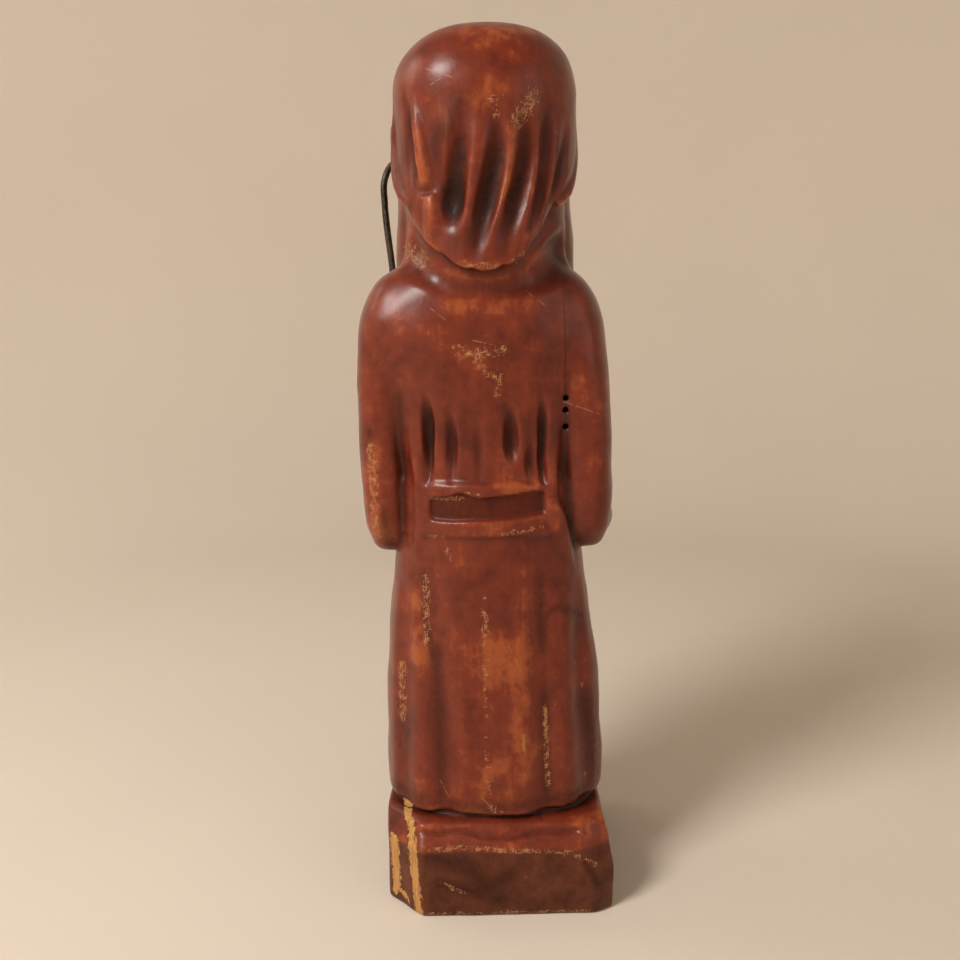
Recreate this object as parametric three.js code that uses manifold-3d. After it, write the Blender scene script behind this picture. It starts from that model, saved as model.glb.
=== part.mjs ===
// Carved wooden figure: a bearded man in a belted robe, cut with his plinth from one block of wood,
// with a bent steel wire crook through his left fist.
// Millimetres, +Z up. The origin is the middle of the plinth's underside, the back is towards +Y
// and the figure's left hand is on the +X side.

import * as THREE from 'three';
import { LoftGeometry } from 'three/addons/geometries/LoftGeometry.js';
import { mergeVertices } from 'three/addons/utils/BufferGeometryUtils.js';
import Module from 'manifold-3d';

const wasm = await Module();
wasm.setup();

// Overall sizes
const HEIGHT = 377.5;
const DOME_BASE = 345;
const HEAD_CENTRE_Y = 3;
const HEAD_HALF_WIDTH = 38;
const HEAD_HALF_DEPTH = 41;
const HAIR_TIP = 278;
const HAIR_SIDE = 303.5;
const SLEEVE_END = 158.5;
const HEM = 45;
const PLINTH_LEFT = 49;
const PLINTH_RIGHT = -51.2;
const PLINTH_BACK = 47.5;
const PLINTH_FRONT = 52;
const PLINTH_FACE_TOP = 32.5;
const LEDGE_STEP = 37;

// Wire crook
const WIRE_DIAMETER = 3.2;
const WIRE_CLEARANCE = 0.35;
const WIRE_Y = -45.5;
const CROOK_RADIUS = 12;

// Columns and sides that the facets are counted by
const BODY_COLUMNS = 36;
const HEAD_COLUMNS = 34;
const LIMB_COLUMNS = 12;
const GOUGE_SIDES = 8;

// Middle line of the block: it leans a little to the figure's left at the shoulders. Height, X.
const AXIS = [[0, 0], [95, 0], [130, 0.9], [190, 1.1], [230, 2.3], [276, 3.1], [284, 1.4], [300, 0]];

// The figure's trunk from hem to neck.
// Each row: height, half width, depth to the back, depth to the front, squareness of the ring.
const TRUNK = [
  [HEM, 50.2, 41, 40.5, 2.7],
  [54, 50.7, 41.2, 41, 2.7],
  [80, 49.4, 39.8, 40, 2.7],
  [124, 46, 37.4, 38.4, 2.5],
  [142, 43.6, 36.4, 37.6, 2.4],
  [156, 41.8, 36, 37.2, 2.4],
  [167.5, 40.6, 36.1, 37.2, 2.4],
  [170, 41, 37.8, 38.8, 2.4],
  [181, 41, 38, 39.2, 2.4],
  [190, 40.8, 37.8, 38.8, 2.4],
  [193, 40.4, 35.8, 36.4, 2.4],
  [208, 42, 35, 35.4, 2.5],
  [248, 49, 34.5, 32.6, 2.8],
  [258, 49.8, 34, 31.2, 2.8],
  [265, 48, 33.2, 29.8, 2.7],
  [271, 45, 32.2, 27.6, 2.6],
  [276, 41, 31.2, 25, 2.5],
  [280.5, 34.5, 30.4, 22, 2.4],
  [288, 31.4, 29.8, 20, 2.3],
];

// A sleeve from the flat under the elbow to the shoulder.
// Each row: height, outer edge, middle in Y, depth to the back, depth to the front.
const SLEEVE = [
  [SLEEVE_END, 49, 7, 8, 9],
  [161, 50.8, 7, 11.5, 12],
  [165.5, 52.2, 7, 14, 14],
  [172, 53.5, 6.5, 15.6, 15],
  [184, 54.8, 6, 16.8, 15.5],
  [204, 55.1, 5, 18.4, 16.5],
  [224, 54.8, 4.5, 20, 17.2],
  [242, 54.1, 3.5, 21.6, 17.5],
  [254, 52.8, 3, 22.6, 17],
  [262, 50.6, 3, 22.4, 16],
  [268, 48.4, 3, 21, 15],
  [273, 45.4, 3, 18.5, 13],
  [277, 41, 3, 15, 11],
];
const LEFT_SLEEVE_INNER = 36.5;
const RIGHT_SLEEVE_INNER = 33.5;
const SHOULDER_INNER = 24;

// Gouge strokes on the back of the hair: radius, then points of X, Z and depth below the surface.
const HAIR_STROKES = [
  { radius: 5, points: [[6, 337, -0.5], [8.5, 325, 1.6], [11, 313, 3], [13.6, 304, 3.6], [16.5, 296, 0.6]] },
  {
    radius: 4.4,
    points: [[-7, 340, -0.5], [-4.8, 325, 1.8], [-1.4, 309, 2.6], [3.8, 296, 2.4], [7, 283, 1]],
  },
  {
    radius: 4.2,
    points: [[-16.2, 336, -0.5], [-15.9, 319, 2], [-13.9, 309, 2.4], [-10.2, 299, 2.2], [-5.5, 283, 1]],
  },
  { radius: 3.8, points: [[-24.2, 341, -0.5], [-24.2, 320, 1.8], [-21.4, 303, 2], [-16.5, 289, 0.8]] },
  { radius: 3.4, points: [[-32.5, 330, -0.5], [-31, 316, 1.6], [-28, 304, 1.8], [-24.5, 297, 0.6]] },
  { radius: 3.4, points: [[23.6, 350, -0.5], [23.8, 333, 1.5], [22.6, 320, 1.8], [20, 304, 1]] },
  { radius: 3.4, points: [[31, 352, -0.5], [32, 333, 1.6], [30.4, 320, 1.8], [27.8, 303, 1.4]] },
];

// Gathers of the robe above the waist, at the back: X, top, bottom, depth, radius.
const PLEATS = [
  [25.5, 228, 195, 2.8, 3.8],
  [16, 222, 195, 2.2, 3.6],
  [4.5, 220, 195, 1.8, 4],
  [-8.6, 224, 197, 2.6, 3.6],
  [-18, 213, 198, 1.6, 3],
  [-25, 226, 195, 2.8, 4.4],
];

// Long folds of the skirt: side of the body (1 back, -1 front), radius, points of X, Z and depth.
const FOLDS = [
  {
    side: 1, radius: 8,
    points: [[26, 152, -1.5], [25, 130, 1.6], [23.5, 100, 2.4], [22.6, 70, 2.6], [22.5, 40, 2.4]],
  },
  {
    side: 1, radius: 8,
    points: [[-20, 150, -1.5], [-21, 130, 1.4], [-21.6, 100, 2.2], [-22, 70, 2.4], [-22, 40, 2.2]],
  },
  { side: 1, radius: 7, points: [[37.5, 140, -1.5], [38.5, 120, 1], [40, 80, 1.6], [41, 40, 1.6]] },
  { side: 1, radius: 7, points: [[-37.5, 140, -1.5], [-38.5, 120, 1.2], [-40, 80, 1.8], [-41, 40, 1.8]] },
  { side: -1, radius: 8, points: [[13, 160, -1.5], [13.5, 140, 1.6], [15, 100, 2.4], [16, 40, 2.6]] },
  { side: -1, radius: 8, points: [[-8, 160, -1.5], [-8.5, 140, 1.6], [-9, 100, 2.4], [-9, 40, 2.6]] },
  { side: -1, radius: 8, points: [[-27, 156, -1.5], [-27.5, 135, 1.4], [-30, 100, 2.2], [-31, 40, 2.4]] },
  { side: -1, radius: 7, points: [[33, 150, -1.5], [34, 130, 1.2], [36, 90, 1.8], [37, 40, 1.8]] },
];

// Smooth value of a table at a height: a monotone cubic through its rows.
function follow(table, z) {
  const last = table.length - 1;
  const q = THREE.MathUtils.clamp(z, table[0][0], table[last][0]);
  let i = 0;
  while (i < last - 1 && table[i + 1][0] < q) i++;
  const slope = (k, c) => (table[k + 1][c] - table[k][c]) / (table[k + 1][0] - table[k][0]);
  const tangent = (k, c) => {
    if (k === 0) return slope(0, c);
    if (k === last) return slope(last - 1, c);
    const below = slope(k - 1, c);
    const above = slope(k, c);
    return below * above <= 0 ? 0 : 2 * below * above / (below + above);
  };
  const h = table[i + 1][0] - table[i][0];
  const s = (q - table[i][0]) / h;
  return table[i].slice(1).map((value, k) => {
    const c = k + 1;
    return (2 * s ** 3 - 3 * s ** 2 + 1) * value + (s ** 3 - 2 * s ** 2 + s) * h * tangent(i, c)
      + (3 * s ** 2 - 2 * s ** 3) * table[i + 1][c] + (s ** 3 - s ** 2) * h * tangent(i + 1, c);
  });
}

// A ring of the block: a squared ellipse that has its own depth to the back and to the front.
function ringRadius(angle, ring) {
  const depth = Math.sin(angle) > 0 ? ring.back : ring.front;
  const across = Math.abs(Math.cos(angle)) / ring.half;
  const along = Math.abs(Math.sin(angle)) / depth;
  return (across ** ring.power + along ** ring.power) ** (-1 / ring.power);
}

function ringPoint(angle, ring, z) {
  const radius = ringRadius(angle, ring);
  return new THREE.Vector3(ring.x + radius * Math.cos(angle), ring.y + radius * Math.sin(angle), z);
}

function evenAngles(count) {
  return Array.from({ length: count }, (_, k) => (k + 0.5) / count * 2 * Math.PI);
}

const trunkRing = (z) => {
  const [half, back, front, power] = follow(TRUNK, z);
  return { x: follow(AXIS, z)[0], y: 0, half, back, front, power };
};

const headRing = (z) => {
  const rise = Math.max(0, (z - DOME_BASE) / (HEIGHT - DOME_BASE));
  const width = Math.max(0, 1 - rise ** 2.45) ** (1 / 2.45);
  const depth = Math.max(0, 1 - rise ** 2.25) ** (1 / 2.25);
  const below = Math.max(0, DOME_BASE - z) / (DOME_BASE - HAIR_TIP);
  return {
    x: 0,
    y: HEAD_CENTRE_Y,
    half: Math.max(0.5, HEAD_HALF_WIDTH * width - 1.4 * below),
    back: Math.max(0.5, HEAD_HALF_DEPTH * depth - 2.4 * below),
    front: Math.max(0.5, HEAD_HALF_DEPTH * depth - 1.5 * below),
    power: 2.3,
  };
};

// A point on a ring at a given X, on the back (1) or the front (-1), moved outwards by some amount.
function surfacePoint(ringAt, side, x, z, outwards) {
  const ring = ringAt(z);
  const depth = side > 0 ? ring.back : ring.front;
  const u = THREE.MathUtils.clamp((x - ring.x) / ring.half, -0.97, 0.97);
  const v = (1 - Math.abs(u) ** ring.power) ** (1 / ring.power);
  const normalX = Math.sign(u) * Math.abs(u) ** (ring.power - 1) / ring.half;
  const normalY = v ** (ring.power - 1) / depth;
  const length = Math.hypot(normalX, normalY);
  return new THREE.Vector3(
    ring.x + u * ring.half + outwards * normalX / length,
    ring.y + side * (v * depth + outwards * normalY / length),
    z,
  );
}

// Closed mesh to solid, without the triangles that merging leaves with two corners alike
function solid(geometry) {
  const bare = new THREE.BufferGeometry();
  bare.setAttribute('position', geometry.getAttribute('position'));
  bare.setIndex(geometry.getIndex());
  const merged = mergeVertices(bare, 1e-4);
  const corners = merged.getIndex().array;
  const kept = [];
  for (let k = 0; k < corners.length; k += 3) {
    const [a, b, c] = [corners[k], corners[k + 1], corners[k + 2]];
    if (a !== b && b !== c && c !== a) kept.push(a, b, c);
  }
  return new wasm.Manifold(new wasm.Mesh({
    numProp: 3,
    vertProperties: new Float32Array(merged.getAttribute('position').array),
    triVerts: new Uint32Array(kept),
  }));
}

function meshGeometry(body) {
  const { vertProperties, triVerts } = body.getMesh();
  const geometry = new THREE.BufferGeometry();
  geometry.setAttribute('position', new THREE.BufferAttribute(vertProperties, 3));
  geometry.setIndex(new THREE.BufferAttribute(triVerts, 1));
  geometry.computeVertexNormals();
  return geometry;
}

// A skin through closed rings, with each end drawn in to the middle of its ring
function loft(sections) {
  const middle = (ring) => {
    const sum = ring.reduce((total, point) => total.add(point), new THREE.Vector3());
    const centre = sum.divideScalar(ring.length);
    return ring.map(() => centre);
  };
  const rings = [middle(sections[0]), ...sections, middle(sections.at(-1))];
  return solid(new LoftGeometry(rings, { closed: true }));
}

// A stack of rings at the heights of a list.
function stack(ringAt, heights, columns) {
  return loft(heights.map((z) => evenAngles(columns).map((angle) => ringPoint(angle, ringAt(z), z))));
}

// A rod along a smooth curve, with round or flat ends. Stations are [x, y, z, radius]; a rounding
// lists rings as [push beyond the end, share of the radius].
const ROUNDING = [[0.94, 0.36], [0.6, 0.8]];
const SMALL_ROUNDING = [[0.8, 0.62]];

function rod(stations, options = {}) {
  const { sides = 6, steps = 4, turn = 0.5, rounding = SMALL_ROUNDING } = options;
  const { roundStart = true, roundEnd = true } = options;
  const curve = new THREE.CatmullRomCurve3(stations.map(([x, y, z]) => new THREE.Vector3(x, y, z)));
  const radiusAt = (t) => {
    const place = t * (stations.length - 1);
    const k = Math.min(Math.floor(place), stations.length - 2);
    return THREE.MathUtils.lerp(stations[k][3], stations[k + 1][3], place - k);
  };
  const stops = Array.from({ length: steps + 1 }, (_, k) => ({ t: k / steps, shrink: 1, push: 0 }));
  const ends = rounding.map(([push, shrink]) => ({ push, shrink }));
  if (roundStart) stops.unshift(...ends.map(({ push, shrink }) => ({ t: 0, shrink, push: -push })));
  if (roundEnd) stops.push(...ends.reverse().map(({ push, shrink }) => ({ t: 1, shrink, push })));
  const across = new THREE.Vector3(0, 1, 0);
  return loft(stops.map(({ t, shrink, push }) => {
    const centre = curve.getPoint(t);
    const tangent = curve.getTangent(t);
    const radius = radiusAt(t);
    centre.addScaledVector(tangent, push * radius);
    const u = new THREE.Vector3().crossVectors(across, tangent).normalize();
    const v = new THREE.Vector3().crossVectors(tangent, u).normalize();
    return Array.from({ length: sides }, (_, k) => {
      const angle = (k + turn) / sides * 2 * Math.PI;
      return centre.clone()
        .addScaledVector(u, Math.cos(angle) * radius * shrink)
        .addScaledVector(v, Math.sin(angle) * radius * shrink);
    });
  }));
}

function ellipsoid([x, y, z], [rx, ry, rz], columns = 12, rows = 8) {
  const geometry = new THREE.SphereGeometry(1, columns, rows);
  geometry.scale(rx, ry, rz);
  geometry.translate(x, y, z);
  return solid(geometry);
}

const FLAT_ENDS = { roundStart: false, roundEnd: false };

// The cutting tool of one gouge stroke over the surface of a stack of rings, an edge of it foremost
function gouge(ringAt, side, radius, points) {
  const stations = points.map(([x, z, depth]) => {
    const place = surfacePoint(ringAt, side, x, z, radius - depth);
    return [place.x, place.y, place.z, radius];
  });
  return rod(stations, { sides: GOUGE_SIDES, turn: 0, steps: points.length - 1, ...FLAT_ENDS });
}

const joined = (parts) => parts.reduce((whole, part) => whole.add(part));

// Plinth: a block with its corners cut off, a sloped ledge and a rounded rise to the hem.
// Corner cuts are [along X, along Y].
const CUT_BACK_LEFT = [16, 16];
const CUT_BACK_RIGHT = [8.4, 4.5];
const CUT_FRONT = [8, 8];
const CORNER_SLOPE_FOOT = 20.5;

function plinthOutline(inset, z, frontInset = inset) {
  const left = PLINTH_LEFT - inset * 0.05;
  const right = PLINTH_RIGHT + inset * 0.1 + 0.13 * Math.max(0, z - CORNER_SLOPE_FOOT);
  const back = PLINTH_BACK - inset;
  const front = -PLINTH_FRONT + frontInset;
  const corners = [
    [left, back - CUT_BACK_LEFT[1]], [left - CUT_BACK_LEFT[0], back],
    [right + CUT_BACK_RIGHT[0], back], [right, back - CUT_BACK_RIGHT[1]],
    [right, front + CUT_FRONT[1]], [right + CUT_FRONT[0], front],
    [left - CUT_FRONT[0], front], [left, front + CUT_FRONT[1]],
  ];
  return corners.map(([x, y]) => new THREE.Vector3(x, y, z));
}

// Sloped cut that takes the top off the back right corner
function cornerSlope() {
  const low = CORNER_SLOPE_FOOT;
  const high = 60;
  const foot = [
    [PLINTH_RIGHT + CUT_BACK_RIGHT[0], PLINTH_BACK], [PLINTH_RIGHT, PLINTH_BACK - CUT_BACK_RIGHT[1]],
  ];
  const lean = [0.457, -0.854].map((value) => value * 0.3 * (high - low));
  const far = [-40, 75];
  const ring = (z, shift) => {
    const [[ax, ay], [bx, by]] = foot.map(([x, y]) => [x + shift[0], y + shift[1]]);
    const run = [(bx - ax) * 6, (by - ay) * 6];
    return [
      [ax - run[0], ay - run[1]], [bx + run[0], by + run[1]],
      [bx + run[0] + far[0], by + run[1] + far[1]], [ax - run[0] + far[0], ay - run[1] + far[1]],
    ].reverse().map(([x, y]) => new THREE.Vector3(x, y, z));
  };
  return loft([ring(low, [0, 0]), ring(high, lean)]);
}

function plinth() {
  const block = loft([
    plinthOutline(0.8, 0),
    plinthOutline(0, 1.5),
    plinthOutline(0, CORNER_SLOPE_FOOT),
    plinthOutline(0, PLINTH_FACE_TOP - 1.5),
    plinthOutline(0.8, PLINTH_FACE_TOP),
    plinthOutline(4, LEDGE_STEP, 9.6),
    plinthOutline(5.6, LEDGE_STEP + 3.5, 10.6),
    plinthOutline(8.4, HEM + 4, 11.6),
  ]);
  return block.subtract(cornerSlope());
}

function trunk() {
  const heights = TRUNK.map(([z]) => z);
  return stack(trunkRing, heights, BODY_COLUMNS);
}

// Sleeve: the inner edge runs from the elbow's to the shoulder's.
function sleeve(sign, elbowInner) {
  const ringAt = (z) => {
    const [outer, y, back, front] = follow(SLEEVE, z);
    const climb = THREE.MathUtils.smoothstep(z, 200, 262);
    const inner = THREE.MathUtils.lerp(elbowInner, SHOULDER_INNER, climb);
    const x = follow(AXIS, z)[0] + sign * (outer + inner) / 2;
    return { x, y, half: (outer - inner) / 2, back, front, power: 2.5 };
  };
  return stack(ringAt, SLEEVE.map(([z]) => z), LIMB_COLUMNS);
}

// Neck
function neck() {
  const ringAt = () => ({ x: 0, y: 2, half: 31, back: 28, front: 26, power: 2.3 });
  return stack(ringAt, [262, 312], 16);
}

// Lower edge of the hair as seen from behind: a deep U with its tip a little right of the middle.
function hairEdge(x) {
  return Math.min(HAIR_SIDE, HAIR_TIP + 30 * (Math.abs(x + 1.8) / 30) ** 3);
}

// Head: the bottom of the hair follows its edge, and its underside turns in towards the neck.
// In front the ring draws in below the cheeks to the jaw.
const JAW = 286;
const CHEEK = 326;

function headPoint(angle, z, inset = 0) {
  const point = ringPoint(angle, headRing(z), z);
  const jaw = Math.sin(angle) < 0 ? 0.24 * THREE.MathUtils.smoothstep(CHEEK - z, 0, CHEEK - JAW) : 0;
  const side = Math.sqrt(Math.abs(Math.sin(angle)));
  const shrink = 1 - jaw * side - inset / Math.hypot(point.x, point.y);
  return new THREE.Vector3(point.x * shrink, point.y * shrink, z);
}

function head() {
  const angles = evenAngles(HEAD_COLUMNS);
  const edgeAt = (angle) => {
    const x = ringPoint(angle, headRing(HAIR_SIDE), 0).x;
    const jawEdge = THREE.MathUtils.lerp(HAIR_SIDE, JAW, Math.min(1, -Math.sin(angle) * 2));
    return Math.sin(angle) > 0 ? hairEdge(x) : jawEdge;
  };
  const top = DOME_BASE + 2;
  const wall = [0, 0.04, 0.16, 0.32, 0.48, 0.64, 0.8].map((t) => angles.map((angle) => (
    headPoint(angle, THREE.MathUtils.lerp(edgeAt(angle), top, t), t === 0 ? 1.6 : 0)
  )));
  const dome = [1, 0.68, 0.46, 0.27, 0.12, 0.025].map((t) => {
    const z = HEIGHT - (HEIGHT - top) * t;
    return angles.map((angle) => headPoint(angle, z));
  });
  const underside = angles.map((angle) => {
    const ring = { x: 0, y: 0, half: 26, back: 26, front: 24, power: 2.3 };
    return ringPoint(angle, ring, edgeAt(angle) + 7);
  });
  return loft([underside, ...wall, ...dome]);
}

// Hair that falls from the temples in front of the ears and shoulders.
// Each row: height, X, Y, half width, depth to the back, depth to the front.
const CURTAIN = [
  [243, 25.5, -31, 4, 3, 4],
  [250, 27.5, -30, 6.2, 6, 6],
  [262, 30, -25, 8, 10, 9],
  [276, 31.6, -15, 8, 16, 15],
  [292, 31.2, -10, 7.6, 17, 17],
  [308, 30.4, -10, 7, 13, 16],
  [324, 30, -12, 7, 9, 13],
  [342, 29, -14, 7, 7, 11],
  [360, 24, -14, 6, 4, 8],
];

function curtain(sign) {
  const ringAt = (z) => {
    const [x, y, half, back, front] = follow(CURTAIN, z);
    return { x: sign * x, y, half, back, front, power: 2.2 };
  };
  return stack(ringAt, CURTAIN.map(([z]) => z), 12);
}

function earLock(sign) {
  return rod([
    [sign * 33.6, 15, 350, 2.2], [sign * 35.4, 13.5, 335, 3], [sign * 34.6, 16.5, 319, 3],
    [sign * 31.5, 25, 309, 2],
  ], { steps: 5 });
}

function ear(sign) {
  return rod([
    [sign * 35.6, -2, 335, 2.2], [sign * 36.2, 3, 338.5, 2.6], [sign * 36.4, 6.5, 332, 2.8],
    [sign * 36, 6, 323, 2.6], [sign * 34.8, 2, 315, 2.4],
  ], { steps: 7 });
}

// Face: calm and regular, the eyes halfway up the head and the nose a third of the face long.
const EYE_Z = 333;
const EYE_X = 12.5;
const BROW_Z = 341;
const NOSE_BASE_Z = 318;
const MOUTH_Z = 306.5;
const HAIRLINE_Z = 361;

// Each row: height, half width, how far its front stands at -Y.
function nose() {
  const rows = [
    [NOSE_BASE_Z - 2.4, 4, 41], [NOSE_BASE_Z - 1, 6, 46], [NOSE_BASE_Z + 2.5, 6.4, 47.5],
    [NOSE_BASE_Z + 10, 4.8, 45], [NOSE_BASE_Z + 18, 3.8, 41.5], [BROW_Z + 2, 4.4, 38.5],
  ];
  return loft(rows.map(([z, half, reach]) => evenAngles(10).map((angle) => (
    ringPoint(angle, { x: 0, y: -34, half, back: 6, front: reach - 34, power: 1.7 }, z)
  ))));
}

function brow(sign) {
  return rod([
    [sign * 3.5, -36, BROW_Z + 0.5, 2.2], [sign * 12, -34.6, BROW_Z + 2.2, 2.8],
    [sign * 22, -29, BROW_Z - 1.5, 2],
  ], { steps: 4 });
}

function moustache(sign) {
  return rod([
    [sign * 1.5, -39.6, MOUTH_Z + 6.5, 3], [sign * 9, -38.8, MOUTH_Z + 4.5, 3.8],
    [sign * 17, -35, MOUTH_Z - 2, 3], [sign * 21, -32, MOUTH_Z - 10, 1.6],
  ], { steps: 5 });
}

// Each row: height, half width, middle in Y, depth to the front.
const BEARD = [
  [221, 4, -31, 5], [226, 10, -31, 8.5], [236, 16, -30, 11], [250, 20.5, -28.5, 13.5], [266, 23, -27, 16],
  [282, 24.5, -25, 17.5], [294, 25, -22, 19], [303.5, 24.5, -20, 18.4], [311, 23.5, -20, 14],
];

const beardRing = (z) => {
  const [half, y, front] = follow(BEARD, z);
  return { x: 0, y, half, back: 12, front, power: 2.2 };
};

function beard() {
  return stack(beardRing, BEARD.map(([z]) => z), 18);
}

function beardStrokes() {
  return [-15.5, -9, -3, 3, 9, 15.5].map((x) => gouge(beardRing, -1, 3, [
    [x * 1.15, 299, -0.8], [x * 1.1, 283, 1.1], [x * 0.9, 256, 1.3], [x * 0.5, 229, 0.4],
  ]));
}

// Arms below the elbows: forearm, cuff and hand, the hand with its fingers side by side.
const FIST = [38.4, WIRE_Y, 204];
const FINGER_RADIUS = 2.9;

function leftForearm() {
  const fingers = [-1.5, -0.5, 0.5, 1.5].map((k) => {
    const z = FIST[2] + k * FINGER_RADIUS * 1.75;
    return rod([
      [FIST[0] + 7, FIST[1] + 4, z, FINGER_RADIUS], [FIST[0] + 5, FIST[1] - 4, z, FINGER_RADIUS],
      [FIST[0] - 3, FIST[1] - 5.5, z, FINGER_RADIUS], [FIST[0] - 7, FIST[1] + 0.5, z, FINGER_RADIUS * 0.9],
    ], { sides: 5, steps: 3 });
  });
  return [
    rod([[44.5, 6, 171, 11], [44.5, -8, 178, 11], [42.5, -24, 190, 10.4], [41, -33, 197, 10.4]],
      { sides: 12, steps: 4, rounding: ROUNDING, roundEnd: false }),
    rod([[42, -28, 193, 11.4], [40.4, -35, 198.4, 11.4]], { sides: 12, steps: 1, ...FLAT_ENDS }),
    rod([[41.4, -30, 195.5, 7.6], [FIST[0] + 1.6, FIST[1] + 4, FIST[2] - 2, 7.6]],
      { sides: 10, steps: 1, ...FLAT_ENDS }),
    ellipsoid([FIST[0] + 1, FIST[1] + 3, FIST[2]], [7.5, 7.5, 10.5], 10, 7),
    ...fingers,
  ];
}

function rightForearm() {
  const fingers = [-1.5, -0.5, 0.5, 1.5].map((k) => {
    const z = 188.5 + k * FINGER_RADIUS * 1.7;
    return rod([
      [-12, -39.5, z - 0.5, FINGER_RADIUS], [-3, -42, z + 0.5, FINGER_RADIUS],
      [6 - Math.abs(k + 0.5), -41, z + 1, FINGER_RADIUS * 0.85],
    ], { sides: 5, steps: 2 });
  });
  return [
    rod([[-43.5, 6, 171, 11], [-41, -12, 174, 11], [-32, -27, 180, 10.4], [-22, -35.5, 185, 9.4]],
      { sides: 12, steps: 4, rounding: ROUNDING, roundEnd: false }),
    rod([[-27, -32, 182.4, 10.6], [-20, -36.4, 185.6, 10]], { sides: 12, steps: 1, ...FLAT_ENDS }),
    ellipsoid([-15, -38.5, 187.5], [8.5, 5, 8.2], 10, 7),
    ...fingers,
  ];
}

function toes(sign) {
  return ellipsoid([sign * 14 - 2, -38, LEDGE_STEP + 2], [10.5, 11.5, 6], 12, 8);
}

// The tool that sinks a panel into a surface: between two X, up to a top and down to a bottom that
// may change with X.
function panelTool(ringAt, side, xs, bottomAt, topAt, depth) {
  const height = 8;
  const sections = xs.map((x) => [
    surfacePoint(ringAt, side, x, bottomAt(x), -depth), surfacePoint(ringAt, side, x, bottomAt(x), height),
    surfacePoint(ringAt, side, x, topAt(x), height), surfacePoint(ringAt, side, x, topAt(x), -depth),
  ]);
  return loft(side > 0 ? sections : sections.map((section) => section.reverse()));
}

const spread = (from, to, count) => Array.from({ length: count }, (_, k) => (
  THREE.MathUtils.lerp(from, to, k / (count - 1))
));

// Sunk panel of the belt at the back
function beltPanel() {
  return panelTool(trunkRing, 1, spread(-23.5, 24.7, 8), () => 176.4, () => 187, 2.2);
}

// Forehead and temples, sunk below the hairline
function facePanel() {
  const half = 23;
  const arch = (x) => HAIRLINE_Z - 12 * Math.abs(x / half) ** 2.6;
  return panelTool(headRing, -1, spread(-half, half, 9), () => 320, arch, 1.4);
}

// Wire crook: straight from its hole in the plinth, through the fist, hooked over beside the head.
const WIRE_FOOT = [26.9, 30];
const WIRE_BEND = [44, 278];
const HOOK_START = [46.9, 312];
const HOOK_TURN = 24;
const HOOK_STEPS = 8;

function wireStations() {
  const radius = WIRE_DIAMETER / 2;
  const middle = [(WIRE_FOOT[0] + WIRE_BEND[0]) / 2, (WIRE_FOOT[1] + WIRE_BEND[1]) / 2];
  const bowed = [[44.8, 287], [46, 298.6], HOOK_START];
  const shaft = [WIRE_FOOT, middle, WIRE_BEND, ...bowed].map(([x, z]) => [x, WIRE_Y, z, radius]);
  const hook = Array.from({ length: HOOK_STEPS }, (_, k) => {
    const angle = THREE.MathUtils.degToRad(14 + HOOK_TURN * k);
    const inwards = CROOK_RADIUS * (1 - Math.cos(angle));
    return [
      HOOK_START[0] - inwards * 0.93, WIRE_Y - inwards * 0.36,
      HOOK_START[1] + 8 + CROOK_RADIUS * 1.1 * Math.sin(angle), radius,
    ];
  });
  return [...shaft, ...hook];
}

function wire() {
  const stations = wireStations();
  return rod(stations, { sides: 8, steps: stations.length - 1, ...FLAT_ENDS });
}

// The drilled way of the wire: the blind hole in the plinth and the hole through the fist
function wireHoles() {
  const hole = WIRE_DIAMETER / 2 + WIRE_CLEARANCE;
  const at = (z) => {
    const t = (z - WIRE_FOOT[1]) / (WIRE_BEND[1] - WIRE_FOOT[1]);
    return [THREE.MathUtils.lerp(WIRE_FOOT[0], WIRE_BEND[0], t), WIRE_Y, z, hole];
  };
  const drill = (low, high) => rod([at(low), at(high)], { sides: 12, steps: 1, ...FLAT_ENDS });
  return [drill(WIRE_FOOT[1] - WIRE_CLEARANCE, LEDGE_STEP + 12), drill(FIST[2] - 16, FIST[2] + 16)];
}

function figureGeometry() {
  const pairs = [1, -1].flatMap((sign) => [
    brow(sign), moustache(sign), ear(sign), earLock(sign), curtain(sign), toes(sign),
  ]);
  const sockets = [1, -1].map((sign) => ellipsoid([sign * EYE_X, -40.5, EYE_Z], [8.5, 6.5, 5.4], 10, 8));
  const eyes = [1, -1].map((sign) => ellipsoid([sign * EYE_X, -31.8, EYE_Z], [6.4, 3.4, 3.4], 10, 6));
  const lip = ellipsoid([0, -37.6, MOUTH_Z - 1.5], [6, 3.4, 2.4], 10, 6);
  const hairCuts = HAIR_STROKES.map(({ radius, points }) => gouge(headRing, 1, radius, points));
  const skull = head().subtract(joined([facePanel(), ...hairCuts, ...sockets]));
  const pleats = PLEATS.map(([x, top, bottom, depth, radius]) => gouge(trunkRing, 1, radius, [
    [x, top, -0.8], [x, top - 8, depth * 0.8], [x, bottom + 6, depth], [x, bottom, 0.2],
  ]));
  const folds = FOLDS.map(({ side, radius, points }) => gouge(trunkRing, side, radius, points));
  const robe = trunk().subtract(joined([...pleats, ...folds, beltPanel()]));
  const chin = beard().subtract(joined(beardStrokes()));
  const whole = joined([
    robe, plinth(), sleeve(1, LEFT_SLEEVE_INNER), sleeve(-1, RIGHT_SLEEVE_INNER), neck(), skull, chin,
    nose(), lip, ...eyes, ...pairs, ...leftForearm(), ...rightForearm(),
  ]);
  return meshGeometry(whole.subtract(joined(wireHoles())));
}

const varnishedWood = new THREE.MeshStandardMaterial({ color: 0x8c3a1c, roughness: 0.35, metalness: 0 });
const wornSteel = new THREE.MeshStandardMaterial({ color: 0x5a554e, roughness: 0.5, metalness: 0.85 });

const figure = new THREE.Mesh(figureGeometry(), varnishedWood);
figure.name = 'carved_figure';

const crook = new THREE.Mesh(meshGeometry(wire()), wornSteel);
crook.name = 'wire_crook';

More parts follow.
